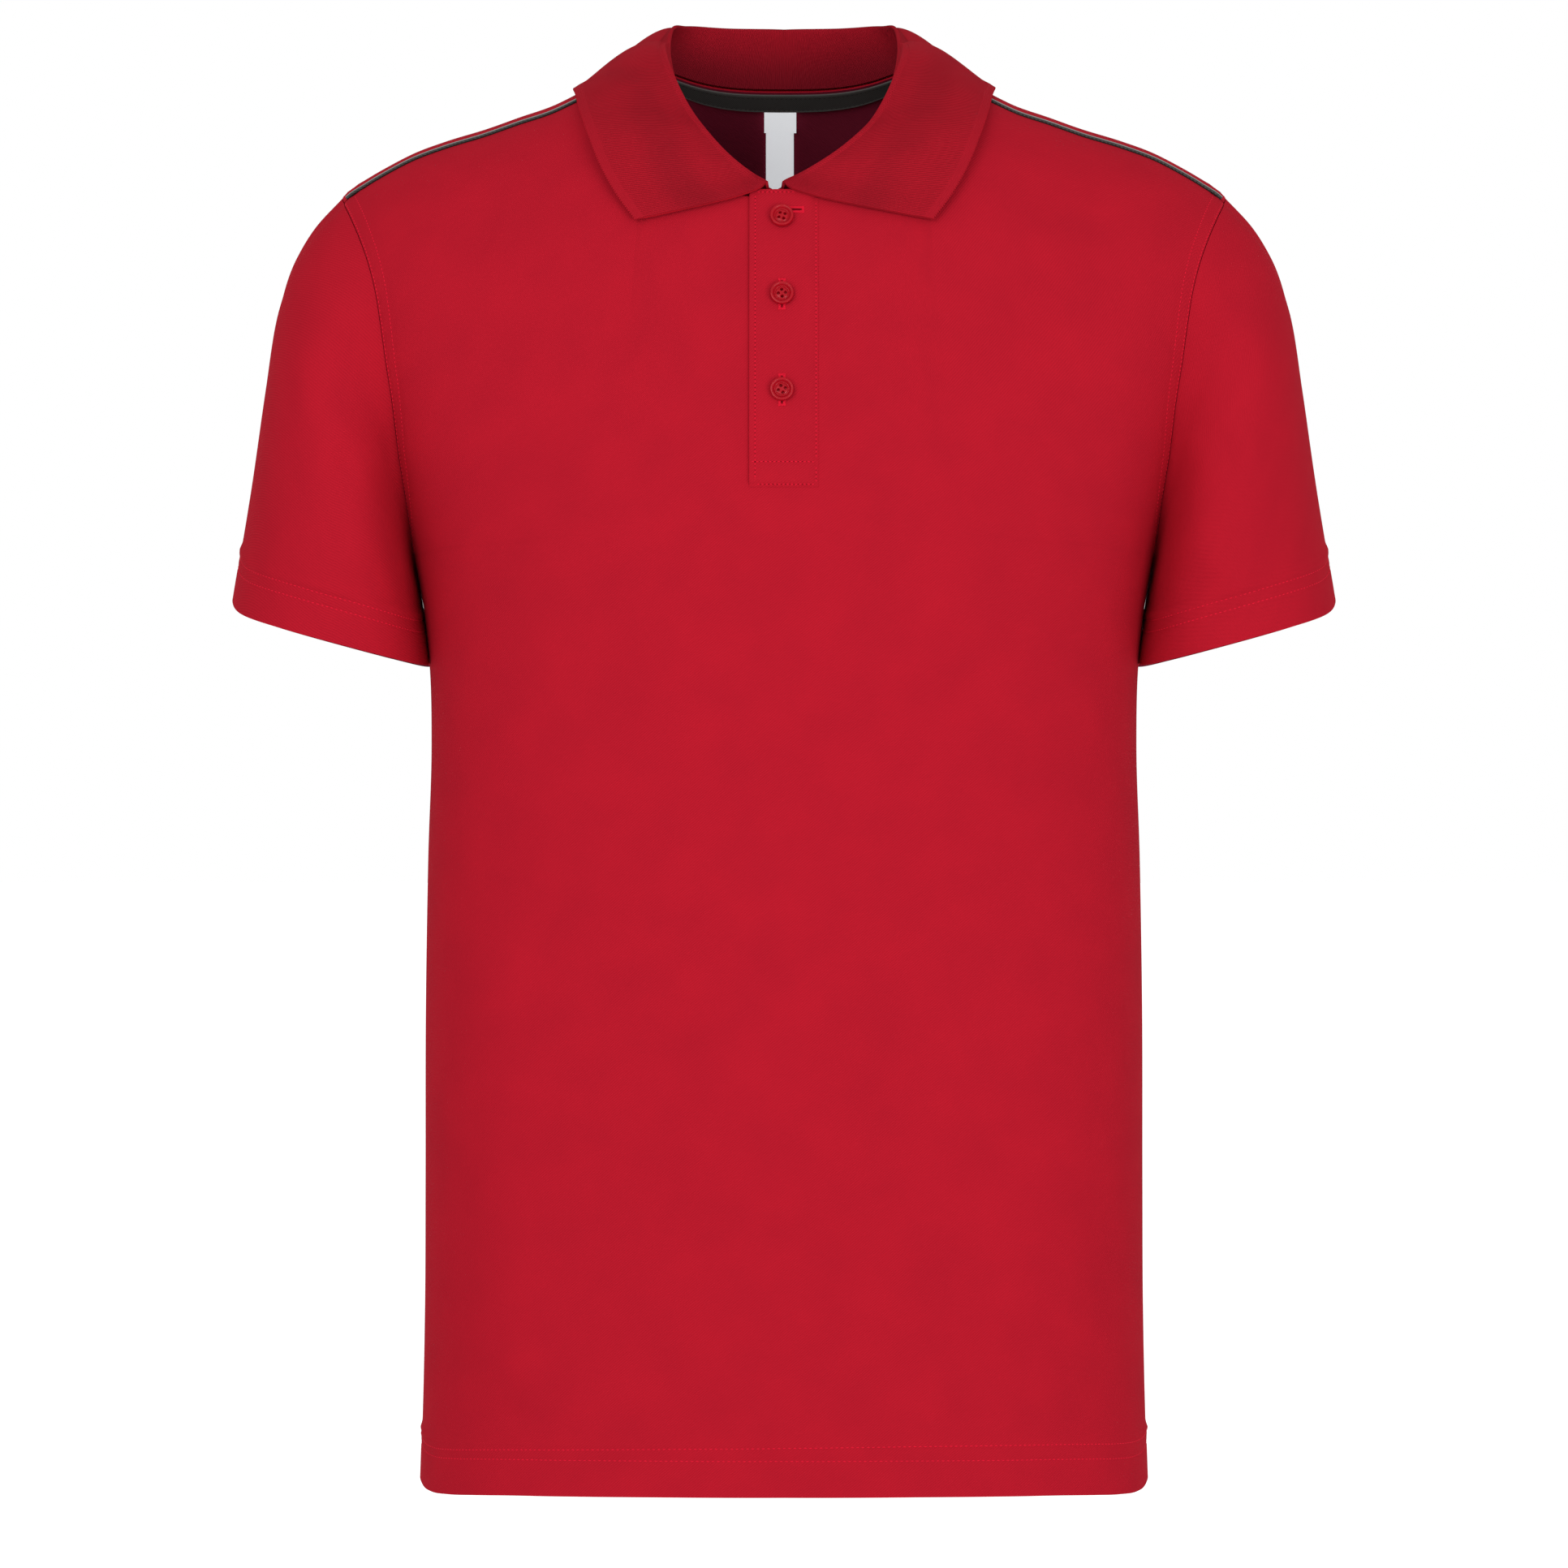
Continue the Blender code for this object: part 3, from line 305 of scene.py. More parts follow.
# The sleeves' creases, drawn on the right sleeve for both
RIGHT_SLEEVE_CREASES = {
    "x0":         [0.196, 0.200, 0.188, 0.206],
    "z0":         [-0.150, -0.186, -0.214, -0.110],
    "x1":         [0.240, 0.246, 0.236, 0.240],
    "z1":         [-0.196, -0.168, -0.262, -0.140],
    "half_width": [0.010, 0.011, 0.011, 0.012],
    "height":     [0.0025, -0.0022, 0.0020, 0.0014],
}
LEFT_SLEEVE_CREASES = {
    "x0":         [0.198, 0.197, 0.190, 0.208],
    "z0":         [-0.158, -0.192, -0.220, -0.116],
    "x1":         [0.238, 0.244, 0.240, 0.242],
    "z1":         [-0.200, -0.176, -0.256, -0.150],
    "half_width": [0.011, 0.010, 0.012, 0.012],
    "height":     [0.0024, -0.0023, 0.0019, 0.0015],
}

# Colours, in linear light
RED = (0.40, 0.0080, 0.020)
RED_LIGHT = (0.46, 0.0095, 0.022)
RED_SHADE = (0.33, 0.0070, 0.018)
RIB_SHADE = (0.30, 0.0080, 0.017)
# painted shade for the collar's stand inside the neck
STAND_PAINTED_SHADE_COLOUR = (0.10, 0.0060, 0.012)
# painted shade in the needle holes and the buttonhole cuts
HOLE_PAINTED_SHADE = (0.10, 0.0010, 0.004)
# painted shade: a darker red for the cloth's inner side, standing in for the shade inside the shirt
PAINTED_SHADE_INSIDE_LIGHT = (0.18, 0.0120, 0.030)
PAINTED_SHADE_INSIDE_DARK = (0.14, 0.0090, 0.024)
# painted highlight along the piping's outer side
CORD_PAINTED_HIGHLIGHT = (0.24, 0.24, 0.23)
THREAD_RED = (0.62, 0.009, 0.030)
THREAD_LIGHT = (0.72, 0.012, 0.037)
DARK = (0.022, 0.020, 0.018)
# the twill's grey ridges, and the painted highlight along the tape's edges
TWILL_GREY_AND_EDGE_HIGHLIGHT = (0.075, 0.070, 0.065)
WHITE = (0.80, 0.80, 0.81)
KNIT_SHINE = {"Sheen_Weight": 0.03, "Sheen_Roughness": 0.5, "Sheen_Tint": (1.0, 0.10, 0.14, 1.0),
              "Specular_IOR_Level": 0.02}
THREAD_DARK = (0.010, 0.009, 0.008)
THREAD_DARK_BLOOM = (0.03, 0.028, 0.026)
RESIN_SHADE = (0.30, 0.002, 0.008)
RESIN_LIGHT = (0.40, 0.003, 0.012)
WHITE_SHADE = (0.78, 0.78, 0.79)
KNIT_SLANT = (-0.64, 0.77, 0.0)
ACROSS = (1.0, 0.0, 0.0)
ALONG = (0.0, 1.0, 0.0)

# The patterns' pitches, and how deep each is in the surface
KNIT_PITCH = 0.0010
COURSE_PITCH = 0.0008
KNIT_DEPTH = 0.00006
RIB_PITCH = 0.0011
RIB_DEPTH = 0.0004
TWILL_PITCH = 0.0008
TWILL_DEPTH = 0.00005
CORD_PITCH = 0.0009
CORD_DEPTH = 0.00008
SATIN_PITCH = 0.0005
SATIN_DEPTH = 0.00002
# Where the collar's ribs and painted shades begin and end, across the leaf's middle and down the stand, in
# metres from the leaf's edge, and the tape's painted edge highlights, from its lower edge
RIBS_BEGIN = (0.0036, 0.0048)
LEAF_SHADE_BEGINS = (0.016, 0.030)
LEAF_SHADE_ENDS = (0.048, 0.034)
PAINTED_SHADE_ON_STAND = (0.066, 0.098)
TAPE_LOWER_HIGHLIGHT = (0.0016, 0.0003)
TAPE_UPPER_HIGHLIGHT = (0.0088, 0.0101)

# The stage and the camera
FLOOR_Z = -0.95
FLOOR_HALF_WIDTH = 40.0
FLOOR_GLOW = 0.60
WORLD_STRENGTH = 0.70
LAMP_SIZE = 1.6
KEY_PLACE = (-1.2, -2.8, 0.5)
KEY_POWER = 29.0
FILL_PLACE = (1.5, -2.7, -0.70)
FILL_POWER = 42.0
CAMERA_DISTANCE = 3.5
CAMERA_HEIGHT = -0.344
VIEW_WIDTH = 0.7728


def smooth(at, xs, ys):
    """A smooth curve through a table's points: cubic steps, each with the slope of its neighbours."""
    xs, ys = np.asarray(xs, float), np.asarray(ys, float)
    at = np.clip(at, xs[0], xs[-1])
    slope = np.gradient(ys, xs)
    i = np.clip(np.searchsorted(xs, at, side="right") - 1, 0, len(xs) - 2)
    step = xs[i + 1] - xs[i]
    t = (at - xs[i]) / step
    rise = ys[i] * (1 + 2 * t) * (1 - t) ** 2 + ys[i + 1] * t * t * (3 - 2 * t)
    return rise + step * (slope[i] * t * (1 - t) ** 2 - slope[i + 1] * t * t * (1 - t))


def ease(t):
    """0 to 1 with level ends."""
    t = np.clip(t, 0.0, 1.0)
    return t * t * (3 - 2 * t)


def figure_width(z):
    return smooth(z, FIGURE["z"], FIGURE["width"])


def shoulder_z(x):
    return smooth(np.abs(x), SHOULDER["x"], SHOULDER["z"])


def shoulder_round(x):
    return smooth(np.abs(x), SHOULDER["x"], SHOULDER["round"])


def figure_depth(z, on_front):
    """The depth of the figure's ring at height z, of its front half or its back half."""
    front_depth = smooth(z, FIGURE["z"], FIGURE["front"])
    return np.where(on_front, front_depth, smooth(z, FIGURE["z"], FIGURE["back"]))


def ring_share(across):
    """What is left of a ring's depth at a share of its width, or the other way round: a squared oval."""
    return (1 - across ** FIGURE_EXPONENT) ** (1 / FIGURE_EXPONENT)


def over_round(x, down):
    """The cloth's angle on the shoulder's round, and its height, a length down from the shoulder line."""
    radius = shoulder_round(x)
    angle = np.clip(down / radius, -np.pi / 2, np.pi / 2)
    hanging = np.maximum(np.abs(down) - radius * np.pi / 2, 0.0)
    return angle, shoulder_z(x) - radius * (1 - np.cos(angle)) - hanging


def on_figure(x, down, side):
    """A point of the figure: x across, and a length down from the shoulder line, on the front
    (side -1) or the back (side 1). A length below nought lies over the shoulder, on the other side.
    The cloth turns over the shoulder on a round of its own, then hangs level ring by level ring."""
    x, down = np.broadcast_arrays(np.asarray(x, float), np.asarray(down, float))
    angle, z = over_round(x, down)
    depth = figure_depth(z, np.where(down < 0, -side, side) < 0)
    ring = ring_share(np.minimum(np.abs(x) / figure_width(z), 1.0))
    return np.stack([x, side * depth * ring * np.sin(angle), z], axis=-1)


def down_at(x, z):
    """The length down from the shoulder line at which the figure has height z."""
    radius = shoulder_round(x)
    drop = shoulder_z(x) - z
    on_round = radius * np.arccos(np.clip(1 - drop / radius, -1.0, 1.0))
    return np.where(drop > radius, drop - radius + radius * np.pi / 2, on_round)


def front_at(x, z):
    """The front of the figure at x and height z."""
    return on_figure(x, down_at(x, z), -1)


def figure_gap(points):
    """How far each point is outside the figure, near enough: its excess over the ring, by the slope."""
    def excess(p):
        x, y, z = p[..., 0], p[..., 1], p[..., 2]
        depth = figure_depth(z, y < 0)
        ring = ring_share(np.minimum(np.abs(x) / figure_width(z), NEAR_THE_SIDE))
        over = np.maximum(1 - (shoulder_z(x) - z) / shoulder_round(x), 0.0)
        return (y / (depth * ring)) ** 2 + over ** 2 - 1

    steps = SMALL_STEP * np.eye(3)
    slope = np.stack([(excess(points + s) - excess(points - s)) / (2 * SMALL_STEP) for s in steps], axis=-1)
    steep = np.linalg.norm(slope, axis=-1)
    return excess(points) / steep, slope / steep[..., None]


def lifted(points, clearance):
    """The points, moved out of the figure where they come nearer to it than the clearance."""
    for _ in range(4):
        gap, outwards = figure_gap(points)
        points = points + np.maximum(clearance - gap, 0.0)[..., None] * outwards
    return points


def seam_down(x):
    """How far down the front the shoulder seam lies, which is brought forward of the shoulder line."""
    return SEAM_FORWARD * shoulder_round(x)


def seam_room(x):
    """Half the room between front and back at the shoulder seam, as a length down, for the piping."""
    ahead = on_figure(x, seam_down(x) + SEAM_STEP, -1) - on_figure(x, seam_down(x), -1)
    return (PIPING_RADIUS + SEAM) * SEAM_STEP / np.linalg.norm(ahead, axis=-1)


def armhole_x(z):
    return smooth(z, ARMHOLE["z"], ARMHOLE["x"])


def neck_edge(turn, side):
    """The neck edge across (turn 0 at the middle, 1 at the shoulder seam): a quarter ellipse drawn on
    the unrolled cloth, as x and length down."""
    angle = turn * np.pi / 2
    end = seam_down(NECK_HALF_WIDTH) * -side
    drop = FRONT_NECK_DROP if side < 0 else BACK_NECK_DROP
    return NECK_HALF_WIDTH * np.sin(angle), end + (drop - end) * np.cos(angle)


def side_edge(rows, side):
    """The panel's side seam and armhole edge, hem to shoulder: x, height and length down, each row. The
    edge and its height settle on each other in a few rounds."""
    top = seam_down(SHOULDER_END_X) * -side + seam_room(SHOULDER_END_X)
    bottom = down_at(figure_width(HEM_Z), HEM_Z)
    down = bottom + (top - bottom) * rows
    x = np.full_like(down, SHOULDER_END_X)
    for _ in range(12):
        _, z = over_round(x, down)
        wanted = np.where(z < UNDERARM_Z, figure_width(z), armhole_x(z))
        x = 0.5 * (x + wanted)
    return x, z, down


def hem_dip(points):
    """How far each point hangs below its level ring: the hem's drop, easing out up the body."""
    low = ease((HEM_DIP_FROM_Z - points[..., 2]) / (HEM_DIP_FROM_Z - HEM_Z))
    return low * smooth(np.abs(points[..., 0]), HEM_DIP["x"], HEM_DIP["drop"])


def body_panel(side, rows, columns):
    """Half of a body panel on the figure: rows from hem to shoulder, columns from middle to side.
    Level rows follow the ring; towards the top they bend to the neck edge and the shoulder seam."""
    x_side, z_side, down_side = side_edge(rows, side)
    x_side, z_side, down_side = x_side[:, None], z_side[:, None], down_side[:, None]
    share = np.clip((columns - SLOT_SHARE) / (1 - SLOT_SHARE), 0.0, 1.0)[None, :]
    in_slot = columns < SLOT_SHARE
    slot_x = SLOT_HALF_WIDTH * columns / SLOT_SHARE

    def ring_x(x_end, z_end):
        width = figure_width(z_end)
        power = FIGURE_EXPONENT / 2
        first = np.arcsin((SLOT_HALF_WIDTH / width) ** power)
        last = np.arcsin(np.minimum(x_end / width, 1.0) ** power)
        beyond = width * np.sin(first + (last - first) * share) ** (1 / power)
        return np.where(in_slot, slot_x, beyond)

    def level_down(x, x_end, down_end):
        return (down_end + shoulder_z(x) - shoulder_z(x_end)
                + (np.pi / 2 - 1) * (shoulder_round(x) - shoulder_round(x_end)))

    slot_turn = np.arcsin(SLOT_HALF_WIDTH / NECK_HALF_WIDTH) / (np.pi / 2)
    turn = np.where(in_slot, slot_turn * columns / SLOT_SHARE,
                    slot_turn + (1 - slot_turn) * (columns - SLOT_SHARE) / (NECK_SHARE - SLOT_SHARE))
    neck_x, neck_down = neck_edge(np.minimum(turn, 1.0), side)
    neck_x = np.where(in_slot, slot_x, neck_x)
    out = np.clip((columns - NECK_SHARE) / (1 - NECK_SHARE), 0.0, 1.0)
    shoulder_x = NECK_HALF_WIDTH + (x_side[-1, 0] - NECK_HALF_WIDTH) * out
    seam_x = np.where(columns < NECK_SHARE, neck_x, shoulder_x)
    seam_edge = seam_down(seam_x) * -side + seam_room(seam_x)
    neck_join = neck_down + seam_room(NECK_HALF_WIDTH) * np.clip(turn, 0, 1) ** 6
    seam_line = np.where(columns < NECK_SHARE, neck_join, seam_edge)

    level_x = ring_x(x_side, z_side)
    level = level_down(level_x, x_side, down_side)
    top_x = ring_x(x_side[-1:], z_side[-1:])
    top = level_down(top_x, x_side[-1:], down_side[-1:])
    start = down_at(figure_width(LEVEL_BELOW_Z), LEVEL_BELOW_Z)
    bend = ease((start - down_side) / (start - down_side[-1:]))
    x = level_x + bend * (seam_x[None, :] - top_x)
    down = level + bend * (seam_line[None, :] - top)
    points = on_figure(x, down, side)
    points[..., 2] -= hem_dip(points)
    return points


def whole_panel(half):
    """Both halves of a panel: the half given, and its mirror image on the other side."""
    return np.concatenate([half[:, :0:-1] * MIRROR, half], axis=1)


def unit(vectors):
    return vectors / np.linalg.norm(vectors, axis=-1, keepdims=True)


def outward(grid, wrap=False):
    """Unit directions square to a grid of points, rows running up and columns running right."""
    around = np.roll(grid, -1, axis=1) - np.roll(grid, 1, axis=1)
    return unit(np.cross(around if wrap else np.gradient(grid, axis=1), np.gradient(grid, axis=0)))


def grid_faces(rows, columns, wrap=False, keep=None):
    """The quads of a grid, turned so that their front is on the side of outward()."""
    i, j = np.meshgrid(np.arange(rows - 1), np.arange(columns if wrap else columns - 1), indexing="ij")
    right = (j + 1) % columns
    low, high = i * columns, (i + 1) * columns
    faces = np.stack([low + j, low + right, high + right, high + j], axis=-1)
    return faces[keep] if keep is not None else faces.reshape(-1, 4)


def wall_mesh(outer, inner, faces, flat):
    """A closed wall: the outer sheet, the inner sheet turned round, and a rim along every open edge,
    with the place of each point on the flat cloth."""
    outer, inner, flat = outer.reshape(-1, 3), inner.reshape(-1, 3), flat.reshape(-1, 2)
    used = np.unique(faces)
    place = np.full(len(outer), -1)
    place[used] = np.arange(len(used))
    faces = place[faces]
    count = len(used)
    edges = np.concatenate([np.roll(faces, -k, axis=1)[:, :2] for k in range(4)])
    alone = ~np.isin(edges[:, 0] * count + edges[:, 1], edges[:, 1] * count + edges[:, 0])
    a, b = edges[alone].T
    rim = np.stack([b, a, a + count, b + count], axis=1)
    points = np.concatenate([outer[used], inner[used]])
    return points, np.concatenate([faces, faces[:, ::-1] + count, rim]), np.tile(flat[used], (2, 1))


def add_object(name, mesh, finish, stands_for=()):
    """A smooth object of one material on the root, in place of the solids that it stands for."""
    mesh.shade_smooth()
    mesh.materials.append(finish)
    piece = bpy.data.objects.new(name, mesh)
    bpy.context.scene.collection.objects.link(piece)
    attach(piece, "root")
    if stands_for:
        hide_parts(*stands_for)
    return piece


def add_piece(name, points, faces, flat, finish, slot, stands_for=(), around=0.0):
    """A named object of quads with its flat places as a UV map. On a tube, around is the length all
    round, so that the quads across the tube's seam don't run backwards over the cloth."""
    mesh = bpy.data.meshes.new(name)
    mesh.vertices.add(len(points))
    mesh.vertices.foreach_set("co", np.ascontiguousarray(points, dtype=np.float32).ravel())
    mesh.loops.add(faces.size)
    mesh.loops.foreach_set("vertex_index", faces.ravel().astype(np.int32))
    mesh.polygons.add(len(faces))
    mesh.polygons.foreach_set("loop_start", np.arange(0, faces.size, 4, dtype=np.int32))
    mesh.update()
    mesh.validate()
    places = flat[faces]
    if around:
        u = places[..., 0]
        places[..., 0] = np.where(u.max(axis=1, keepdims=True) - u > around / 2, u + around, u)
    layer = mesh.uv_layers.new(name="cloth")
    layer.data.foreach_set("uv", places.astype(np.float32).ravel())
    piece = add_object(name, mesh, finish, stands_for)
    mesh.set_sharp_from_angle(angle=SHARP_ANGLE)
    return piece


def make_sheet(name, sheets, finish, slot, keep=None, is_solid=True):
    """The wall between a piece's outer and inner sheets, in place of the solid of its name where there is
    one. On a sleeve the rows are closed."""
    around = sheets.get("around", 0.0)
    faces = grid_faces(*sheets["outer"].shape[:2], wrap=around > 0, keep=keep)
    mesh = wall_mesh(sheets["outer"], sheets["inner"], faces, sheets["flat"])
    return add_piece(name, *mesh, finish, slot, (name,) if is_solid else (), around)


def paint_inner_sheet(piece, finish):
    """Gives the inner sheet of a wall its own material, for the body and sleeves a darker knit of painted
    shade: the faces whose corners are all in the wall's second half of points."""
    mesh = piece.data
    mesh.materials.append(finish)
    inner = np.zeros(len(mesh.polygons), np.int32)
    points = len(mesh.vertices) // 2
    first = np.empty(len(mesh.loops), np.int32)
    mesh.loops.foreach_get("vertex_index", first)
    inner[(first.reshape(-1, 4) >= points).all(axis=1)] = 1
    mesh.polygons.foreach_set("material_index", inner)


def run_length(grid, axis, from_end=False):
    """Length along the rows (axis 1) or columns (axis 0) of a grid of points, from one end."""
    if from_end:
        return np.flip(run_length(np.flip(grid, axis), axis), axis)
    steps = np.linalg.norm(np.diff(grid, axis=axis), axis=-1)
    first = np.zeros_like(np.take(steps, [0], axis=axis))
    return np.concatenate([first, np.cumsum(steps, axis=axis)], axis=axis)


def cut_size(sheet, around=False):
    """The size that a sheet of points was cut to: its longest row, its longest column and its area. On a
    tube the rows are closed."""
    whole = np.concatenate([sheet, sheet[:, :1]], axis=1) if around else sheet
    width, length = run_length(whole, 1)[:, -1].max(), run_length(whole, 0)[-1].max()
    rising, falling = whole[1:, 1:] - whole[:-1, :-1], whole[1:, :-1] - whole[:-1, 1:]
    area = np.linalg.norm(np.cross(rising, falling), axis=-1).sum() / 2
    return (width, length), min(area, width * length)


def flat_places(grid):
    """Each point's place on the flat cloth: along its row from the middle, and up its column."""
    along = run_length(grid, 1)
    return np.stack([along - along[:, -1:] / 2, run_length(grid, 0)], axis=-1)


def line_at(sheet, distance, value):
    """The line on a sheet where a distance that grows up its columns has a value: a point a column."""
    above = np.clip((distance < value).sum(axis=0), 1, len(distance) - 1)
    column = np.arange(distance.shape[1])
    low, high = distance[above - 1, column], distance[above, column]
    share = np.clip((value - low) / (high - low), 0.0, 1.0)[:, None]
    return sheet[above - 1, column] * (1 - share) + sheet[above, column] * share


def joined(sheets, key="outer", facing=1):
    """A sheet's points with their ways out of the cloth beside them, as six numbers a point."""
    return np.concatenate([sheets[key], facing * sheets["across"]], axis=-1)


def spaced(line, step):
    """Points along a line of joined points at an even step, set in by half a step at its ends."""
    run = np.concatenate([[0.0], np.cumsum(np.linalg.norm(np.diff(line[:, :3], axis=0), axis=1))])
    count = max(int(round(run[-1] / step)), 1)
    at = (np.arange(count) + 0.5) * run[-1] / count
    return np.stack([np.interp(at, run, values) for values in line.T], axis=1)


def fan(start, sides, tip):
    """Triangles between a ring of points and a tip, which is on the side that the ring's grid grows to."""
    k = np.arange(sides)
    return np.stack([start + k, start + (k + 1) % sides, np.full(sides, tip)], axis=1)


def add_threads(name, rows, finish):
    """Stitches as one piece. Each row gives the stitches' middles, the way they run, the way out of the
    cloth, their length and their thickness. A stitch is an egg shape stretched along its way."""
    sides, rings = 6, np.array([-0.82, -0.3, 0.3, 0.82])
    angle = np.linspace(0.0, 2 * np.pi, sides, endpoint=False)
    girth = np.sqrt(1 - rings ** 2) ** 0.8
    shape = np.stack([np.repeat(rings, sides), np.outer(girth, np.cos(angle)).ravel(),
                      np.outer(girth, np.sin(angle)).ravel()], axis=1)
    shape = np.concatenate([shape, [[-1.0, 0.0, 0.0], [1.0, 0.0, 0.0]]])
    walls = grid_faces(len(rings), sides, wrap=True)
    first_cap = fan(0, sides, len(shape) - 2)[:, [1, 0, 2]]
    last_cap = fan((len(rings) - 1) * sides, sides, len(shape) - 1)
    points = []
    for middles, ways, outs, length, thickness in rows:
        ways = unit(ways)
        across = unit(np.cross(ways, outs))
        lift = np.cross(across, ways)
        girths = shape[None, :, 1:2] * across[:, None] + shape[None, :, 2:] * lift[:, None]
        lengths = length / 2 * shape[None, :, :1] * ways[:, None]
        points.append(middles[:, None] + lengths + thickness / 2 * girths)
    points = np.concatenate(points)
    starts = (np.arange(len(points)) * len(shape))[:, None, None]
    quads = (walls[None] + starts).reshape(-1, 4)
    tris = (np.concatenate([first_cap, last_cap])[None] + starts).reshape(-1, 3)
    mesh = bpy.data.meshes.new(name)
    mesh.from_pydata(points.reshape(-1, 3), [], quads.tolist() + tris.tolist())
    return add_object(name, mesh, finish)


def stitch_row(line, pitch, thickness=THREAD_THICKNESS, sink=THREAD_SINK):
    """A row of stitches lying on the cloth along a line of joined points, for add_threads."""
    placed = spaced(line, pitch)
    middles, outs = placed[:, :3], unit(placed[:, 3:])
    return middles - sink * outs, np.gradient(middles, axis=0), outs, STITCH_FILL * pitch, thickness


def fractions(*stops):
    """Places from the first stop to the last. A stop is a place and the number of even steps up to it."""
    places = [np.array([stops[0][0]])]
    for (start, _), (end, steps) in zip(stops, stops[1:]):
        places.append(np.linspace(start, end, steps + 1)[1:])
    return np.concatenate(places)


def creases(points, table):
    """Soft ridges and troughs, as listed. Each runs between two points of the front view, with the height of
    a bell across its width, and fades out at both ends."""
    x, z = points[..., 0], points[..., 2]
    height = np.zeros(x.shape)
    for x0, z0, x1, z1, half_width, rise in zip(*(table[key] for key in CREASE_COLUMNS)):
        length = np.hypot(x1 - x0, z1 - z0)
        along = ((x - x0) * (x1 - x0) + (z - z0) * (z1 - z0)) / length ** 2
        across = ((x - x0) * (z1 - z0) - (z - z0) * (x1 - x0)) / length
        fades = ease(along / CREASE_FADE) * ease((1 - along) / CREASE_FADE)
        height += rise * fades * np.exp(-(across / half_width) ** 2)
    return height


def groove(distance, place, depth=STITCH_GROOVE, half_width=STITCH_GROOVE_HALF_WIDTH):
    """A channel pressed into the cloth along a line, a bell across."""
    return -depth * np.exp(-((distance - place) / half_width) ** 2)


def turned_up(distance, width, rows):
    """A turned-up hem: its second layer lifts the cloth, the layer's inner edge stands out as a soft
    ridge, and each row of stitches presses a groove."""
    layer = HEM_LAYER * (1 - ease((distance - width) / HEM_LAYER_EASES))
    ridge = HEM_RIDGE * np.exp(-((distance - width) / HEM_RIDGE_HALF_WIDTH) ** 2)
    return layer + ridge + sum(groove(distance, row) for row in rows)


def hem_waver(x):
    """How far the hem's upper row of stitches strays up the cloth, a slow wave with a rise to the right."""
    return HEM_ROW_WAVE * np.sin(HEM_ROW_WAVE_TURNS * x + 0.6) + HEM_ROW_RISE * x


def panel_rows(side):
    """Row places from hem to shoulder: close over the hem, then even, with one row at the underarm."""
    bottom = down_at(figure_width(HEM_Z), HEM_Z)
    underarm = down_at(armhole_x(UNDERARM_Z), UNDERARM_Z)
    top = seam_down(SHOULDER_END_X) * -side + seam_room(SHOULDER_END_X)
    whole = bottom - top
    return fractions((0.0, 0), (HEM_CLOSE_ROWS / whole, HEM_STEPS), ((bottom - underarm) / whole, BODY_STEPS),
                     (1.0, CHEST_STEPS))


def panel_columns():
    """Column places from the middle to the side."""
    return fractions((0.0, 0), (SLOT_SHARE, SLOT_STEPS), (NECK_SHARE, NECK_STEPS), (1.0, SIDE_STEPS))


def panel_relief(grid, side):
    """How far the cloth of a panel stands off the plain figure: hem, seams and creases."""
    from_hem = run_length(grid, 0)
    relief = turned_up(from_hem, HEM_WIDTH, (HEM_LOWER_ROW, HEM_UPPER_ROW))
    above = ease((grid[..., 2] - UNDERARM_Z + 0.004) / 0.008)
    for from_edge in (run_length(grid, 1), run_length(grid, 1, from_end=True)):
        relief += sum(groove(from_edge, row) for row in ARMHOLE_ROWS) * above
        relief += groove(from_edge, 0.0, SIDE_SEAM_DIP, SEAM_DIP_HALF_WIDTH) * (1 - above)
    inside = 1 - np.abs(grid[..., 0]) / figure_width(grid[..., 2])
    relief += creases(grid, FRONT_CREASES if side < 0 else BACK_CREASES) * ease(inside / CREASES_PAST_SIDE)
    over_seam = ease((np.abs(grid[-1:, :, 0]) - NECK_HALF_WIDTH) / 0.01)
    to_shoulder = run_length(grid, 0, from_end=True)
    return relief + groove(to_shoulder, 0.0, SHOULDER_SEAM_DIP, SEAM_DIP_HALF_WIDTH) * over_seam


def panel_sheets(side):
    """The outer and inner sheets of the front or the back, with the figure's own outward ways."""
    plain = whole_panel(body_panel(side, panel_rows(side), panel_columns()))
    if side > 0:
        plain = plain[:, ::-1]
    across = outward(plain)
    outer = plain + panel_relief(plain, side)[..., None] * across
    inner = outer - WALL * across
    below = plain[:, 0, 2] < UNDERARM_Z + SEAM
    for sheet in (outer, inner):
        sheet[below, :, 1] = side * np.maximum(side * sheet[below, :, 1], SEAM / 2)
    return {"outer": outer, "inner": inner, "across": across, "flat": flat_places(plain)}


def make_body(name, side, panel):
    """The front, with its slit under the placket, or the back."""
    rows, columns = panel["outer"].shape[:2]
    keep = np.ones((rows - 1, columns - 1), bool)
    if side < 0:
        middle = columns // 2
        above = panel["outer"][:-1, middle, 2] > SLOT_BOTTOM_Z
        keep[above, middle - SLOT_STEPS:middle + SLOT_STEPS] = False
    piece = make_sheet(name, panel, red_knit, "red_knit", keep)
    # the inner sheet gets the darker knit, painted shade for the dim inside
    paint_inner_sheet(piece, knit_inside_painted_shade)
    return piece


def armhole_loop(front, back):
    """The panels' own edge points round the right armhole: down the front from the shoulder seam to the
    underarm, and up the back."""
    return np.concatenate([front[UNDERARM_ROW:, -1][::-1], back[UNDERARM_ROW + 1:, 0]])


def side_x(points):
    """How far out the body's side is at each point's depth and height."""
    y, z = points[..., 1], points[..., 2]
    ring = ring_share(np.minimum(np.abs(y) / figure_depth(z, y < 0), 1.0))
    return np.minimum(figure_width(z), armhole_x(UNDERARM_Z)) * ring


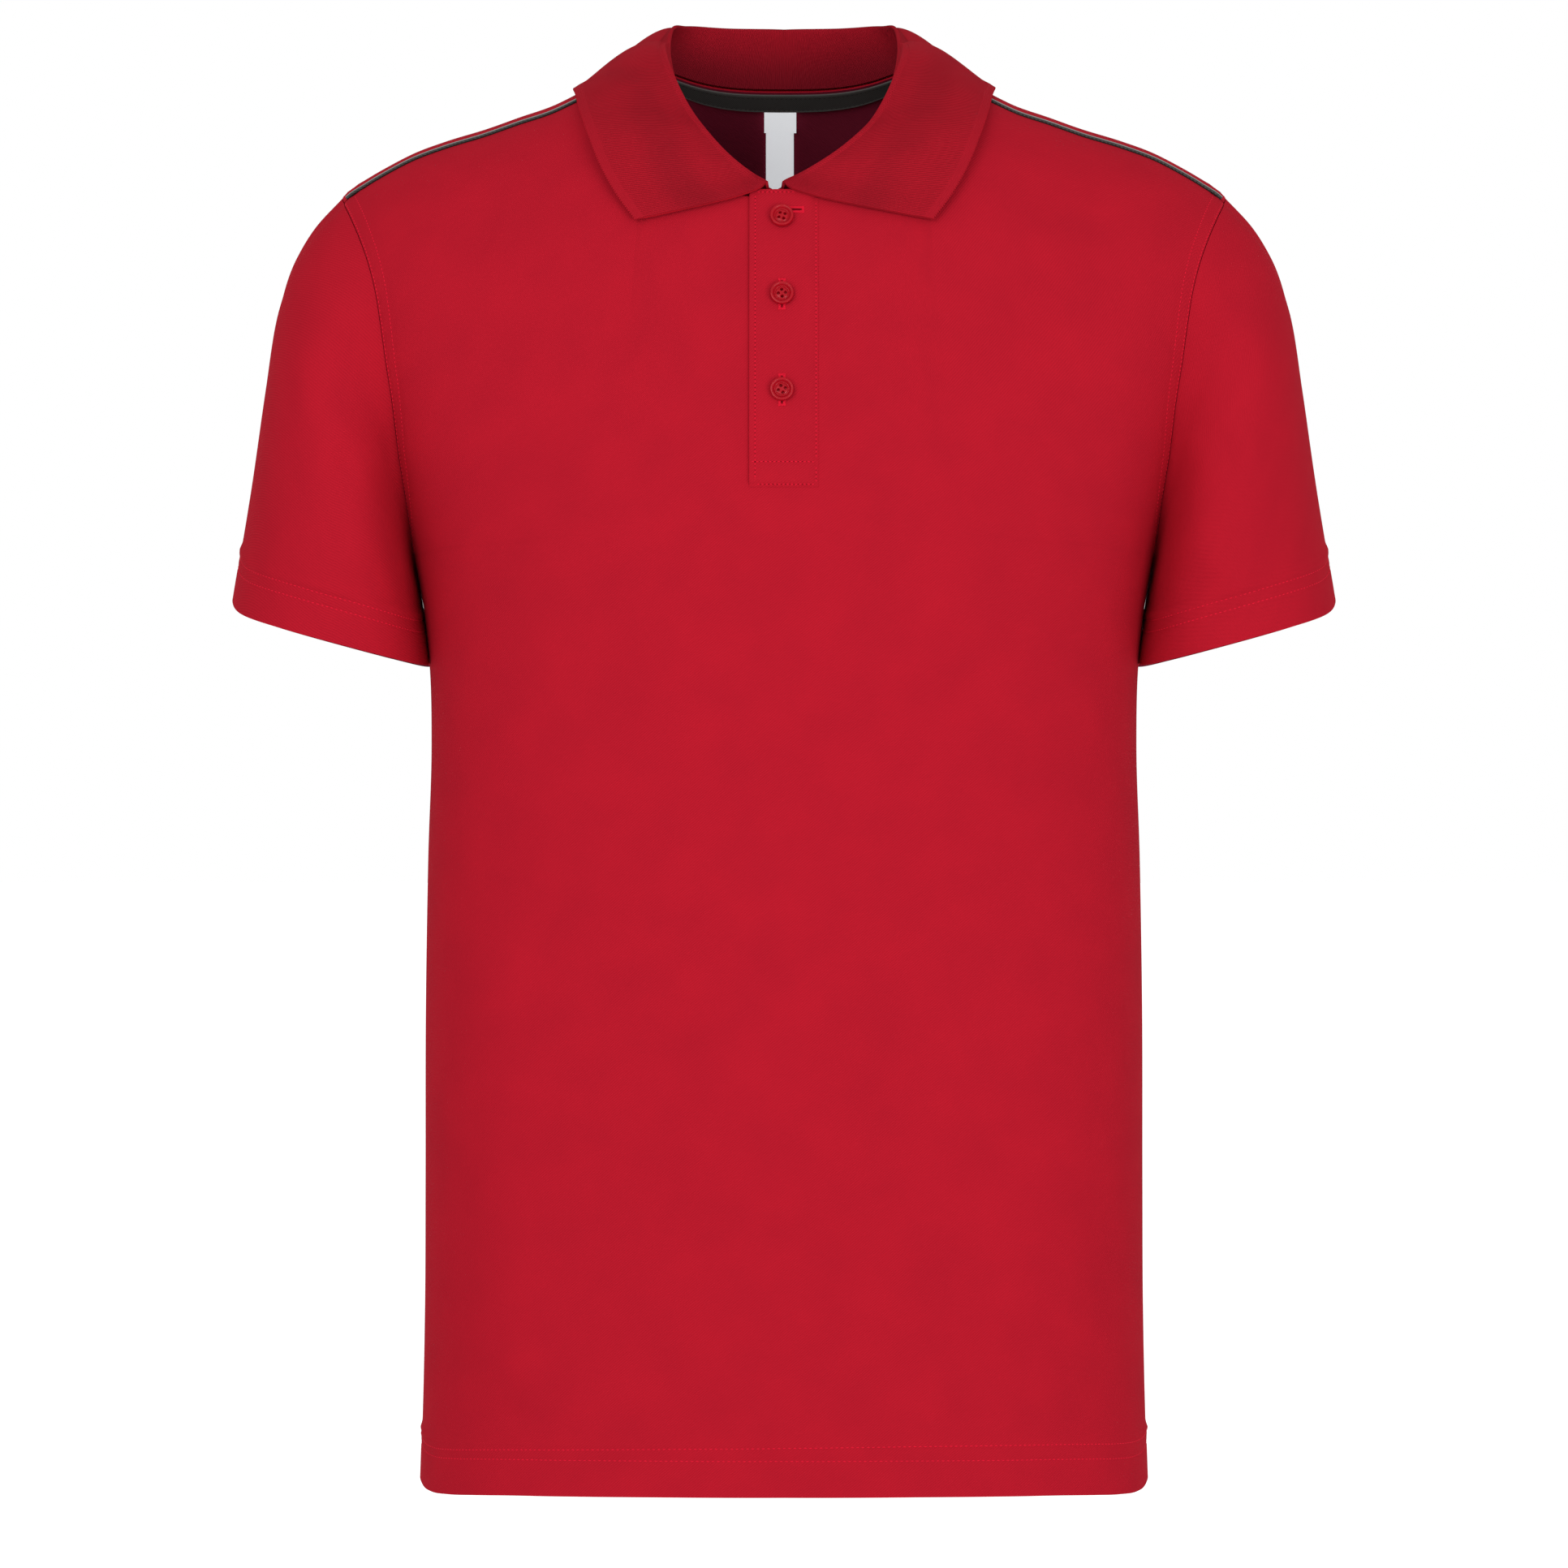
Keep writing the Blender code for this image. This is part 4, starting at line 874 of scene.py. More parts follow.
def sleeve_grid(along, edge):
    """A sleeve, its rows from armhole to cuff. Each section is an oval between its outer and its under
    point. At the armhole it takes the armhole's own shape, a step inside the panels' edge, and lower down
    it hangs clear of the body's side."""
    steps = np.linalg.norm(np.diff(edge, axis=0, append=edge[:1]), axis=1)
    length = np.concatenate([[0.0], np.cumsum(steps)])
    at = length[:-1] + steps[-1] / 2
    lowest = at[CHEST_STEPS]
    beyond = (at - lowest) / (length[-1] - lowest)
    angle = np.where(at < lowest, np.pi * at / lowest, np.pi * (1 + beyond))[None, :]
    part = {key: smooth(along, SLEEVE["along"], SLEEVE[key])[:, None] for key in SLEEVE}
    reach, sideways = (np.sign(v) * np.abs(v) ** SLEEVE_ROUND for v in (np.cos(angle), np.sin(angle)))
    depth = np.where(sideways > 0, part["front"], part["back"])
    hangs = 1.05 * np.sin(angle) ** 2 / (np.sin(angle) ** 2 + 0.12)
    sag = CUFF_SAG * ease((along - 0.35) / 0.5)[:, None] * (1 + 0.4 * reach) * hangs
    middle_x, middle_z = ((part["outer_" + k] + part["under_" + k]) / 2 for k in "xz")
    half_x, half_z = (reach * (part["outer_" + k] - part["under_" + k]) / 2 for k in "xz")
    oval = np.stack([middle_x + half_x, -sideways * depth, middle_z + half_z - sag], axis=-1)
    spread = unit((edge - edge.mean(axis=0)) * (1 - RIGHTWARDS))
    start = edge + SLEEVE_GAP * RIGHTWARDS - SLEEVE_STEP * spread
    return oval + (start - oval[:1]) * (1 - ease(along / SLEEVE_SETTLES))[:, None, None]


def sleeve_sheets(front, back, table):
    """The right sleeve's outer and inner sheets with its cuff and creases, and its length to the cuff."""
    along = fractions((0.0, 0), (CUFF_CLOSE_FROM, SLEEVE_STEPS), (1.0, CUFF_STEPS))
    plain = sleeve_grid(along, armhole_loop(front, back))
    across = outward(plain, True)
    to_cuff = run_length(plain, 0, from_end=True)
    relief = turned_up(to_cuff, CUFF_WIDTH, (CUFF_LOWER_ROW, CUFF_UPPER_ROW))
    facing = ease(-across[..., 1] / CREASE_FACING) - ease(across[..., 1] / CREASE_FACING) * BACK_CREASE_SHARE
    from_armhole = run_length(plain, 0)
    relief += creases(plain, table) * facing * ease(from_armhole / CREASES_PAST_ARMHOLE)
    outer = plain + relief[..., None] * across
    beside = outer[..., 2] < UNDERARM_Z
    outer[..., 0] = np.where(beside, np.maximum(outer[..., 0], side_x(outer) + SIDE_GAP), outer[..., 0])
    across = outward(outer, True)
    ring = np.concatenate([plain, plain[:, :1]], axis=1)
    around = run_length(ring, 1)
    flat = np.stack([around[:, :-1] / around[:, -1:] * around[-1, -1], run_length(plain, 0)], axis=-1)
    return {"outer": outer, "inner": outer - WALL * across, "across": across, "flat": flat,
            "to_cuff": run_length(outer, 0, from_end=True), "around": around[-1, -1]}


def mirrored(sheets):
    """A sleeve's sheets on the other side of the middle, their columns still running right."""
    flipped = {key: sheets[key][:, ::-1] * MIRROR for key in ("outer", "inner", "across")}
    return {**flipped, "flat": sheets["flat"][:, ::-1] * MIRROR[:2],
            "to_cuff": sheets["to_cuff"][:, ::-1], "around": sheets["around"]}


def make_sleeve(name, sheets):
    piece = make_sheet(name, sheets, red_knit, "red_knit")
    # the inner sheet gets the darker knit, painted shade for the dim inside
    paint_inner_sheet(piece, knit_inside_painted_shade)
    return piece


def neck_point(turn, hand):
    """The neck seam from the middle of the back (turn 0) to the collar's front end (turn 1), on one hand.
    It follows the back's neck edge to the shoulder seam, then the front's."""
    ends = COLLAR_ENDS_X[hand] * hand
    last = np.arcsin(ends / NECK_HALF_WIDTH) / (np.pi / 2)
    back = np.clip(turn / COLLAR_MEETS_SHOULDER, 0.0, 1.0)
    front = np.clip((turn - COLLAR_MEETS_SHOULDER) / (1 - COLLAR_MEETS_SHOULDER), 0.0, 1.0)
    back_x, back_down = neck_edge(back, 1)
    front_x, front_down = neck_edge(1 - front * (1 - last), -1)
    on_back = on_figure(back_x, back_down, 1)
    on_front = on_figure(front_x, front_down, -1)
    point = np.where((turn <= COLLAR_MEETS_SHOULDER)[:, None], on_back, on_front)
    _, out = figure_gap(point)
    return (point - COLLAR_WALL / 2 * out) * np.array([hand, 1.0, 1.0])


def collar_half(turns, hand):
    """The middle sheet of one half of the collar, rows from the neck seam over the roll to the leaf's edge.
    The stand is a straight rise, the fold an arc of up to nearly half a turn, and the leaf an easy curve
    that stays clear of the body."""
    mirror = np.array([hand, 1.0, 1.0])
    roll = np.stack([smooth(turns, COLLAR["turn"], COLLAR["roll_" + k]) for k in "xyz"], axis=-1)
    edge = np.stack([smooth(turns, COLLAR["turn"], COLLAR["edge_" + k]) for k in "xyz"], axis=-1)
    shift = COLLAR_ENDS_X[hand] * hand - COLLAR["roll_x"][-1]
    roll[:, 0] += shift * ease((turns - COLLAR_ENDS_FROM) / (1 - COLLAR_ENDS_FROM))
    roll, edge = roll * mirror, edge * mirror
    seam = neck_point(turns, hand)
    rise = unit(roll - seam)
    seam = seam + COLLAR_LEAD * rise
    away = edge - roll
    away = unit(away - np.sum(away * rise, axis=1, keepdims=True) * rise)
    rows = [seam + (roll - seam) * t for t in np.linspace(0.0, 1.0, STAND_STEPS)[:-1]]
    over_shoulder = np.exp(-((turns - SWELL_TURN) / SWELL_SPREAD) ** 2)
    fold_end = np.pi * (FOLD_ANGLE - FOLD_OPENS * over_shoulder)[:, None]
    radius = COLLAR_FOLD_RADIUS * (1 + FOLD_WIDENS * over_shoulder)[:, None]
    for share in np.linspace(0.0, 1.0, FOLD_STEPS):
        angle = share * fold_end
        turned_over = roll + radius * ((1 - np.cos(angle)) * away + np.sin(angle) * rise)
        rows.append(lifted(turned_over, LEAF_CLEARANCE) if share > FOLD_CLEARS_FROM else turned_over)
    leaf_start = rows[-1]
    swell = LEAF_SWELL * (1 - 0.6 * ease(turns)) + SHOULDER_SWELL * over_shoulder
    bow = FRONT_EDGE_BOW * ease((turns - FRONT_EDGE_FROM) / (1 - FRONT_EDGE_FROM))
    for t in np.linspace(0.0, 1.0, LEAF_STEPS + 1)[1:]:
        stands = swell * np.sin(np.pi * t ** 0.8) - bow * np.sin(np.pi * t ** 0.65)
        straight = leaf_start + (edge - leaf_start) * t
        rows.append(lifted(straight + stands[:, None] * UPWARDS, LEAF_CLEARANCE))
    return np.stack(rows)


def collar_sheets():
    """The collar's middle sheet, rows from the neck seam over the roll to the leaf's edge and columns from
    the left end round the back to the right end, with the lengths that its ribs follow."""
    turns = fractions((0.0, 0), (COLLAR_CLOSE_FROM, COLLAR_STEPS), (1.0, COLLAR_END_STEPS))
    grid = np.concatenate([collar_half(turns, -1)[:, :0:-1], collar_half(turns, 1)], axis=1)
    across = outward(grid)
    edge_run = run_length(grid[-1:], 1)
    from_edge = run_length(grid, 0, from_end=True)
    flat = np.stack([np.broadcast_to(edge_run - edge_run[:, -1:] / 2, grid.shape[:2]), from_edge], axis=-1)
    wave = LEAF_WAVE * np.sin(flat[..., 0] / LEAF_WAVE_LENGTH + 0.7) * ease(1 - from_edge / LEAF_WAVE_REACH)
    thick = COLLAR_WALL * (1 - COLLAR_EDGE_THINS * ease(1 - from_edge / COLLAR_BORDER))
    middle = grid + wave[..., None] * across
    return {"outer": middle + thick[..., None] / 2 * across, "inner": middle - thick[..., None] / 2 * across,
            "middle": middle, "across": across, "flat": flat}


def strip_sheets(box, height, wall, rows=(), sides=(), round_corner=0.0, tapered=False):
    """A strip that follows the front and its creases, a height above or below it, with grooves under its
    rows of stitches. The top left corner may be rounded, and the right and bottom edges tapered into
    their seams."""
    x, z = np.meshgrid(np.linspace(box["left"], box["right"], STRIP_COLUMNS),
                       np.linspace(box["bottom"], box["top"], STRIP_ROWS))
    if round_corner:
        inset = round_corner - (x - box["left"])
        drop = round_corner - np.sqrt(np.maximum(round_corner ** 2 - np.maximum(inset, 0.0) ** 2, 0.0))
        z = z - drop * ease(1 - (box["top"] - z) / 0.02)
    plain = front_at(x, z)
    across = outward(plain)
    relief = creases(plain, FRONT_CREASES) + sum(groove(z, row) for row in rows)
    relief = relief + sum(groove(x, side) for side in sides)
    edge = np.minimum(x - box["left"], box["right"] - x)
    edge = np.minimum(edge, np.minimum(z - box["bottom"], box["top"] - z))
    roll_off = -STRIP_ROLLS_OFF * (1 - ease(edge / STRIP_EDGE))
    sewn_in = np.maximum(ease(1 - (box["right"] - x) / STRIP_SIDE_TAPER),
                         ease(1 - (z - box["bottom"]) / STRIP_END_TAPER))
    thinner = STRIP_TAPER * sewn_in if tapered else 0.0
    outer = plain + (height + wall + relief + roll_off - thinner)[..., None] * across
    inner = plain + (height + creases(plain, FRONT_CREASES))[..., None] * across
    return {"outer": outer, "inner": inner, "across": across, "flat": np.stack([x, z], axis=-1)}


def make_side_seam(name, hand):
    """The seam allowance inside a side seam, pressed towards the back: a strip that follows the inside of
    the figure's side from the hem to the underarm."""
    z = np.linspace(HEM_Z + ALLOWANCE_STOPS, UNDERARM_Z - ALLOWANCE_STOPS, 120)[:, None]
    y = np.linspace(*ALLOWANCE_REACH, 12)[None, :] * hand
    y, z = np.broadcast_arrays(y, z)
    x = side_x(np.stack([0 * y, y, z], axis=-1))
    sheets = {"outer": np.stack([hand * (x - ALLOWANCE_DEPTH), y, z], axis=-1),
              "inner": np.stack([hand * (x - ALLOWANCE_DEPTH - ALLOWANCE_WALL), y, z], axis=-1),
              "flat": np.stack([y, z], axis=-1)}
    return make_sheet(name, sheets, red_knit, "red_knit", is_solid=False), sheets["outer"]


def strip_line(sheets, value, upright):
    """A line of a strip at one place across it (upright) or at one height."""
    if upright:
        return line_at(joined(sheets).transpose(1, 0, 2), sheets["flat"][..., 0].T, value)
    return line_at(joined(sheets), sheets["flat"][..., 1], value)


def button_place(z):
    """The middle of a button's back, and the ways across, up and out of the cloth there."""
    below, centre, above = front_at(BUTTON_X, np.array([z - BUTTON_STEP, z, z + BUTTON_STEP]))
    up = unit(above - below)
    out = np.cross(RIGHTWARDS, up)
    crease = creases(centre, FRONT_CREASES)
    return centre + out * (SEAM + STRIP_WALL + SEAM + crease), RIGHTWARDS, up, out


def make_button(name, z, turn):
    """A four-hole button: a disc on rings of points, its face a rim, a dish and four round holes."""
    centre, across, up, out = button_place(z)
    angle = np.linspace(0.0, 2 * np.pi, BUTTON_SIDES, endpoint=False)[None, :]
    radius = np.linspace(1.0, 0.0, BUTTON_RINGS, endpoint=False)[:, None]
    face = smooth(radius, BUTTON_FACE["radius"], BUTTON_FACE["height"])
    ring_x, ring_y = radius * np.cos(angle), radius * np.sin(angle)
    height = np.broadcast_to(face, ring_x.shape).copy()
    for k in range(4):
        at = turn + k * np.pi / 2
        away = np.hypot(ring_x - HOLE_PLACE * np.cos(at), ring_y - HOLE_PLACE * np.sin(at))
        height -= HOLE_DEPTH * ease((HOLE_RADIUS + HOLE_LIP - away) / (2 * HOLE_LIP))
    back_radius, back_height = (np.array(BUTTON_BACK[key])[:, None] for key in ("radius", "height"))
    back_x, back_y = back_radius * np.cos(angle), back_radius * np.sin(angle)
    rings = np.concatenate([np.stack([back_x, back_y, np.broadcast_to(back_height, back_x.shape)], axis=-1),
                            np.stack([ring_x, ring_y, height], axis=-1)])
    rings = rings.reshape(-1, 3) * np.array([BUTTON_RADIUS, BUTTON_RADIUS, BUTTON_THICKNESS])
    last = np.array([[0.0, 0.0, 0.0], [0.0, 0.0, face[-1, 0] * BUTTON_THICKNESS]])
    local = np.concatenate([rings, last])
    points = centre + local[:, :1] * across + local[:, 1:2] * up + local[:, 2:] * out
    walls = grid_faces(len(rings) // BUTTON_SIDES, BUTTON_SIDES, wrap=True)
    back_cap = fan(0, BUTTON_SIDES, len(local) - 2)[:, [1, 0, 2]]
    face_cap = fan(len(rings) - BUTTON_SIDES, BUTTON_SIDES, len(local) - 1)
    mesh = bpy.data.meshes.new(name)
    mesh.from_pydata(points, [], walls.tolist() + back_cap.tolist() + face_cap.tolist())
    return add_object(name, mesh, red_resin, (name,))


def buttonhole(z, lengthways, half_length, shift_x=0.0, shift_z=0.0):
    """A buttonhole's threads, two lips of short stitches laid across and a bar at each end, and apart from
    them the dark cut between the lips, as one long stitch of painted shade."""
    centre, across, up, out = button_place(z + shift_z)
    along, over = (up, across) if lengthways else (across, up)
    # the cut: a dark stitch, painted shade in the opening
    cut = centre - out * (SEAM - CUT_ABOVE_CLOTH) + across * shift_x
    slit = [(cut[None], along[None], out[None], 2 * half_length, CUT_WIDTH)]
    centre = centre - out * (SEAM - LIP_ABOVE_CLOTH) + across * shift_x
    at = np.arange(-half_length, half_length, LIP_PITCH)[:, None]
    bar = np.linspace(-BAR_HALF_LENGTH, BAR_HALF_LENGTH, BAR_THREADS)[:, None]
    groups = [(centre + at * along + side * LIP_OUT * over, over, *LIP_THREAD) for side in (-1, 1)]
    groups += [(centre + end * (half_length + BAR_BEYOND) * along + bar * over, along, *BAR_THREAD)
               for end in (-1, 1)]
    threads = [(middles, np.broadcast_to(way, middles.shape), np.broadcast_to(out, middles.shape), *size)
               for middles, way, *size in groups]
    return threads, slit


def neck_strip(back, across_from, across_to, top, bottom, height, wall, rows=8):
    """A strip inside the back of the neck between two columns of the back, from one length below the neck
    edge to another, as far in from the back's outer sheet as its height."""
    down = run_length(back["outer"], 0, from_end=True)[::-1]
    lines = np.stack([line_at(joined(back)[::-1], down, length) for length in np.linspace(bottom, top, rows)])
    at = np.linspace(across_from, across_to, max(int(abs(across_to - across_from) * 2), 12))
    left = np.floor(at).astype(int)
    share = (at - left)[None, :, None]
    picked = lines[:, left] * (1 - share) + lines[:, left + 1] * share
    points, ways = picked[..., :3], unit(picked[..., 3:])
    return {"outer": points - height * ways, "inner": points - (height + wall) * ways, "across": ways,
            "flat": flat_places(points)}


def make_piping(name, hand):
    """A cord in the shoulder seam, from the neck to the armhole: a circle carried along the seam line,
    with a flat cap on each end."""
    x = np.linspace(NECK_HALF_WIDTH + PIPING_SHORT_OF_NECK, SHOULDER_END_X - PIPING_SHORT_OF_ARMHOLE,
                    PIPING_RINGS)
    path = on_figure(x, seam_down(x), -1) * np.array([hand, 1.0, 1.0])
    lead = unit(np.gradient(path, axis=0))
    out = np.broadcast_to(PIPING_FACES, path.shape)
    out = unit(out - np.sum(out * lead, axis=1, keepdims=True) * lead)
    across = np.cross(lead, out)
    sides = PIPING_SIDES
    angle = np.linspace(0.0, 2 * np.pi, sides, endpoint=False)
    ring = np.cos(angle)[None, :, None] * across[:, None] + np.sin(angle)[None, :, None] * out[:, None]
    grid = path[:, None] + PIPING_RADIUS * ring
    k = np.arange(sides // 2 - 1)
    cap = np.stack([k, k + 1, sides - 2 - k, sides - 1 - k], axis=1)
    faces = np.concatenate([grid_faces(len(x), sides, wrap=True)[:, ::-1], cap,
                            cap[:, ::-1] + (len(x) - 1) * sides])
    girth = 2 * np.pi * PIPING_RADIUS
    run = np.broadcast_to(run_length(path[None], 1).T, (len(x), sides))
    flat = np.stack([np.broadcast_to(angle * PIPING_RADIUS, (len(x), sides)), run], axis=-1).reshape(-1, 2)
    return add_piece(name, grid.reshape(-1, 3), faces, flat, dark_cord, "dark_tape", (name,), around=girth)


def plain_material(name, colour, roughness, **settings):
    """A material of one colour, with any other setting of its shader by that setting's name."""
    material = bpy.data.materials.new(name)
    material.use_nodes = True
    shader = material.node_tree.nodes["Principled BSDF"]
    shader.inputs["Base Color"].default_value = (*colour, 1.0)
    shader.inputs["Roughness"].default_value = roughness
    for label, value in settings.items():
        shader.inputs[label.replace("_", " ")].default_value = value
    return material


class Pattern:
    """Builds a material's nodes: each call adds one and returns what comes out of it."""

    def __init__(self, material, on_cloth=True):
        self.tree = material.node_tree
        self.shader = self.tree.nodes["Principled BSDF"]
        if on_cloth:
            place = self.tree.nodes.new("ShaderNodeUVMap")
            place.uv_map = "cloth"
            self.place = place.outputs["UV"]
        else:
            self.place = self.tree.nodes.new("ShaderNodeTexCoord").outputs["Object"]

    def math(self, operation, first, second=0.0, third=0.0):
        node = self.tree.nodes.new("ShaderNodeMath")
        node.operation = operation
        for socket, value in zip(node.inputs, (first, second, third)):
            if isinstance(value, (int, float)):
                socket.default_value = value
            else:
                self.tree.links.new(value, socket)
        return node.outputs[0]

    def along(self, direction):
        """The distance along a direction of the cloth or of space."""
        node = self.tree.nodes.new("ShaderNodeVectorMath")
        node.operation = "DOT_PRODUCT"
        self.tree.links.new(self.place, node.inputs[0])
        node.inputs[1].default_value = direction
        return node.outputs["Value"]

    def lines(self, direction, pitch, wander=None):
        """Even lines square to a direction: a sine from 0 to 1, bent by wander."""
        turn = self.math("MULTIPLY", self.along(direction), 2 * np.pi / pitch)
        if wander is not None:
            turn = self.math("ADD", turn, wander)
        return self.math("MULTIPLY_ADD", self.math("SINE", turn), 0.5, 0.5)

    def noise(self, size, detail=2.0):
        """Cloudy unevenness whose patches are about as wide as size, from 0 to 1."""
        node = self.tree.nodes.new("ShaderNodeTexNoise")
        self.tree.links.new(self.place, node.inputs["Vector"])
        node.inputs["Scale"].default_value = 1 / size
        node.inputs["Detail"].default_value = detail
        return node.outputs["Fac"]

    def between(self, value, low, high):
        """0 below low, 1 above high, easing between."""
        node = self.tree.nodes.new("ShaderNodeMapRange")
        node.interpolation_type = "SMOOTHSTEP"
        self.tree.links.new(value, node.inputs["Value"])
        node.inputs["From Min"].default_value = low
        node.inputs["From Max"].default_value = high
        return node.outputs["Result"]

    def mix_colour(self, share, first, second):
        node = self.tree.nodes.new("ShaderNodeMix")
        node.data_type = "RGBA"
        self.tree.links.new(share, node.inputs["Factor"])
        for socket, value in ((node.inputs["A"], first), (node.inputs["B"], second)):
            if isinstance(value, tuple):
                socket.default_value = (*value, 1.0)
            else:
                self.tree.links.new(value, socket)
        return node.outputs["Result"]

    def colour(self, socket):
        self.tree.links.new(socket, self.shader.inputs["Base Color"])

    def bump(self, height, depth):
        """Raises the surface by height times depth, in metres."""
        node = self.tree.nodes.new("ShaderNodeBump")
        node.inputs["Distance"].default_value = depth
        self.tree.links.new(height, node.inputs["Height"])
        self.tree.links.new(node.outputs["Normal"], self.shader.inputs["Normal"])


def make_red_knit(name, shade_colour, light_colour):
    """Fine jersey: diagonal ridges that rise to the right, crossed by faint courses."""
    material = plain_material(name, light_colour, 0.85, **KNIT_SHINE)
    cloth = Pattern(material)
    patches = cloth.noise(0.004, 3.0)
    wander = cloth.math("MULTIPLY", patches, 1.6)
    ridges = cloth.lines(KNIT_SLANT, KNIT_PITCH, wander)
    courses = cloth.lines(ALONG, COURSE_PITCH)
    uneven = cloth.math("MULTIPLY_ADD", patches, 0.5, ridges)
    cloth.bump(cloth.math("MULTIPLY_ADD", courses, 0.35, uneven), KNIT_DEPTH)
    clouds = cloth.noise(0.03, 2.0)
    shade = cloth.math("MULTIPLY_ADD", ridges, 0.42, cloth.math("MULTIPLY", clouds, 0.58))
    cloth.colour(cloth.mix_colour(shade, shade_colour, light_colour))
    return material


def make_red_rib():
    """Flat-knit rib: ribs from the leaf's edge to the roll, and a plain border with lines along it, with
    painted shade on the leaf and the stand.
    """
    material = plain_material("red rib", RED, 0.85, **KNIT_SHINE)
    cloth = Pattern(material)
    patches = cloth.noise(0.005, 2.0)
    from_edge = cloth.along(ALONG)
    ribs = cloth.lines(ACROSS, RIB_PITCH, cloth.math("MULTIPLY", patches, 0.8))
    border_lines = cloth.lines(ALONG, RIB_PITCH)
    inside = cloth.between(from_edge, *RIBS_BEGIN)
    border = cloth.math("SUBTRACT", 1.0, inside)
    ribbed = cloth.math("MULTIPLY", ribs, inside)
    height = cloth.math("MULTIPLY_ADD", cloth.math("MULTIPLY", border_lines, border), 0.5, ribbed)
    cloth.bump(height, RIB_DEPTH)
    # painted shade: a cloudy darker band across the middle of the leaf, between its border and the roll
    past_the_border = cloth.between(from_edge, *LEAF_SHADE_BEGINS)
    painted_leaf_shade = cloth.math("MULTIPLY", past_the_border, cloth.between(from_edge, *LEAF_SHADE_ENDS))
    painted_leaf_shade = cloth.math("MULTIPLY", painted_leaf_shade, cloth.between(cloth.noise(0.06), 0.35, 0.6))
    light = cloth.math("MULTIPLY_ADD", cloth.noise(0.02), 0.35, cloth.math("MULTIPLY", border, 0.2))
    shade = cloth.math("MULTIPLY_ADD", ribbed, 0.75, light)
    shade = cloth.math("SUBTRACT", shade, cloth.math("MULTIPLY", painted_leaf_shade, 0.45))
    leaf = cloth.mix_colour(shade, RIB_SHADE, RED_LIGHT)
    # painted shade: the stand darkens down towards the neck seam, inside the neck
    painted_shade_down_stand = cloth.math("MULTIPLY", cloth.between(from_edge, *PAINTED_SHADE_ON_STAND), 0.65)
    cloth.colour(cloth.mix_colour(painted_shade_down_stand, leaf, STAND_PAINTED_SHADE_COLOUR))
    return material


def make_dark_tape():
    """Dark twill tape: fine slanting ridges, with a painted highlight along its two edges."""
    material = plain_material("dark twill", DARK, 0.6, Specular_IOR_Level=0.3)
    cloth = Pattern(material)
    ridges = cloth.lines((0.8, 0.6, 0.0), TWILL_PITCH)
    cloth.bump(ridges, TWILL_DEPTH)
    up = cloth.along(ALONG)
    # painted highlight along both edges of the tape
    edges = cloth.math("ADD", cloth.between(up, *TAPE_LOWER_HIGHLIGHT), cloth.between(up, *TAPE_UPPER_HIGHLIGHT))
    cloth.colour(cloth.mix_colour(cloth.math("MULTIPLY_ADD", ridges, 0.4, edges), DARK, TWILL_GREY_AND_EDGE_HIGHLIGHT))
    return material


def make_dark_cord():
    """Dark corded piping: black, with a grey line of painted highlight along its outer side."""
    material = plain_material("dark cord", DARK, 0.5, Specular_IOR_Level=0.4)
    cloth = Pattern(material)
    # painted highlight: a grey line along the cord's outer side
    painted_highlight_side = cloth.between(cloth.lines(ACROSS, 2 * np.pi * PIPING_RADIUS), 0.80, 0.98)
    cloth.bump(cloth.lines((0.9, 0.45, 0.0), CORD_PITCH), CORD_DEPTH)
    cloth.colour(cloth.mix_colour(painted_highlight_side, DARK, CORD_PAINTED_HIGHLIGHT))
    return material


def make_glowing_white_satin():
    """Woven satin: fine threads across, nearly white, with a painted glow from its emission."""
    # painted light: the emission makes the tab and label glow in the shade of the neck
    material = plain_material("white satin", WHITE, 0.42, Specular_IOR_Level=0.4,
                              Emission_Color=(0.93, 0.96, 1.0, 1.0), Emission_Strength=0.45)
    cloth = Pattern(material)
    cloth.bump(cloth.lines(ALONG, SATIN_PITCH, cloth.noise(0.003)), SATIN_DEPTH)
    cloth.colour(cloth.mix_colour(cloth.noise(0.006), WHITE_SHADE, WHITE))
    return material


def make_thread(name, colour, light):
    """Sewing thread: glossy, a little uneven from stitch to stitch."""
    material = plain_material(name, colour, 0.6, Specular_IOR_Level=0.04)
    thread = Pattern(material, on_cloth=False)
    thread.colour(thread.mix_colour(thread.noise(0.003), colour, light))
    return material


def make_red_resin():
    """Polyester resin: glossy, with faint clouds in its colour."""
    material = plain_material("red resin", RED, 0.28, Coat_Weight=0.06, Coat_Roughness=0.12,
                              Specular_IOR_Level=0.16)
    resin = Pattern(material, on_cloth=False)
    resin.colour(resin.mix_colour(resin.noise(0.003), RESIN_SHADE, RESIN_LIGHT))
    return material


red_knit = make_red_knit("red knit", RED_SHADE, RED_LIGHT)
# the inner sheets' knit, darkened as painted shade inside the shirt
knit_inside_painted_shade = make_red_knit("red knit inside", PAINTED_SHADE_INSIDE_DARK, PAINTED_SHADE_INSIDE_LIGHT)
red_rib = make_red_rib()
red_resin = make_red_resin()
dark_twill = make_dark_tape()
dark_cord = make_dark_cord()
white_satin = make_glowing_white_satin()
red_thread = make_thread("red thread", THREAD_RED, THREAD_LIGHT)
dark_thread = make_thread("dark thread", THREAD_DARK, THREAD_DARK_BLOOM)
# painted shade for needle holes and buttonhole cuts
hole_shade = make_thread("hole shade", HOLE_PAINTED_SHADE, HOLE_PAINTED_SHADE)

# Body
front = panel_sheets(-1)
back = panel_sheets(1)
front_piece = make_body("front", -1, front)
back_piece = make_body("back", 1, back)
right_seam_piece, right_seam = make_side_seam("side_seam_right", 1)
left_seam_piece, left_seam = make_side_seam("side_seam_left", -1)

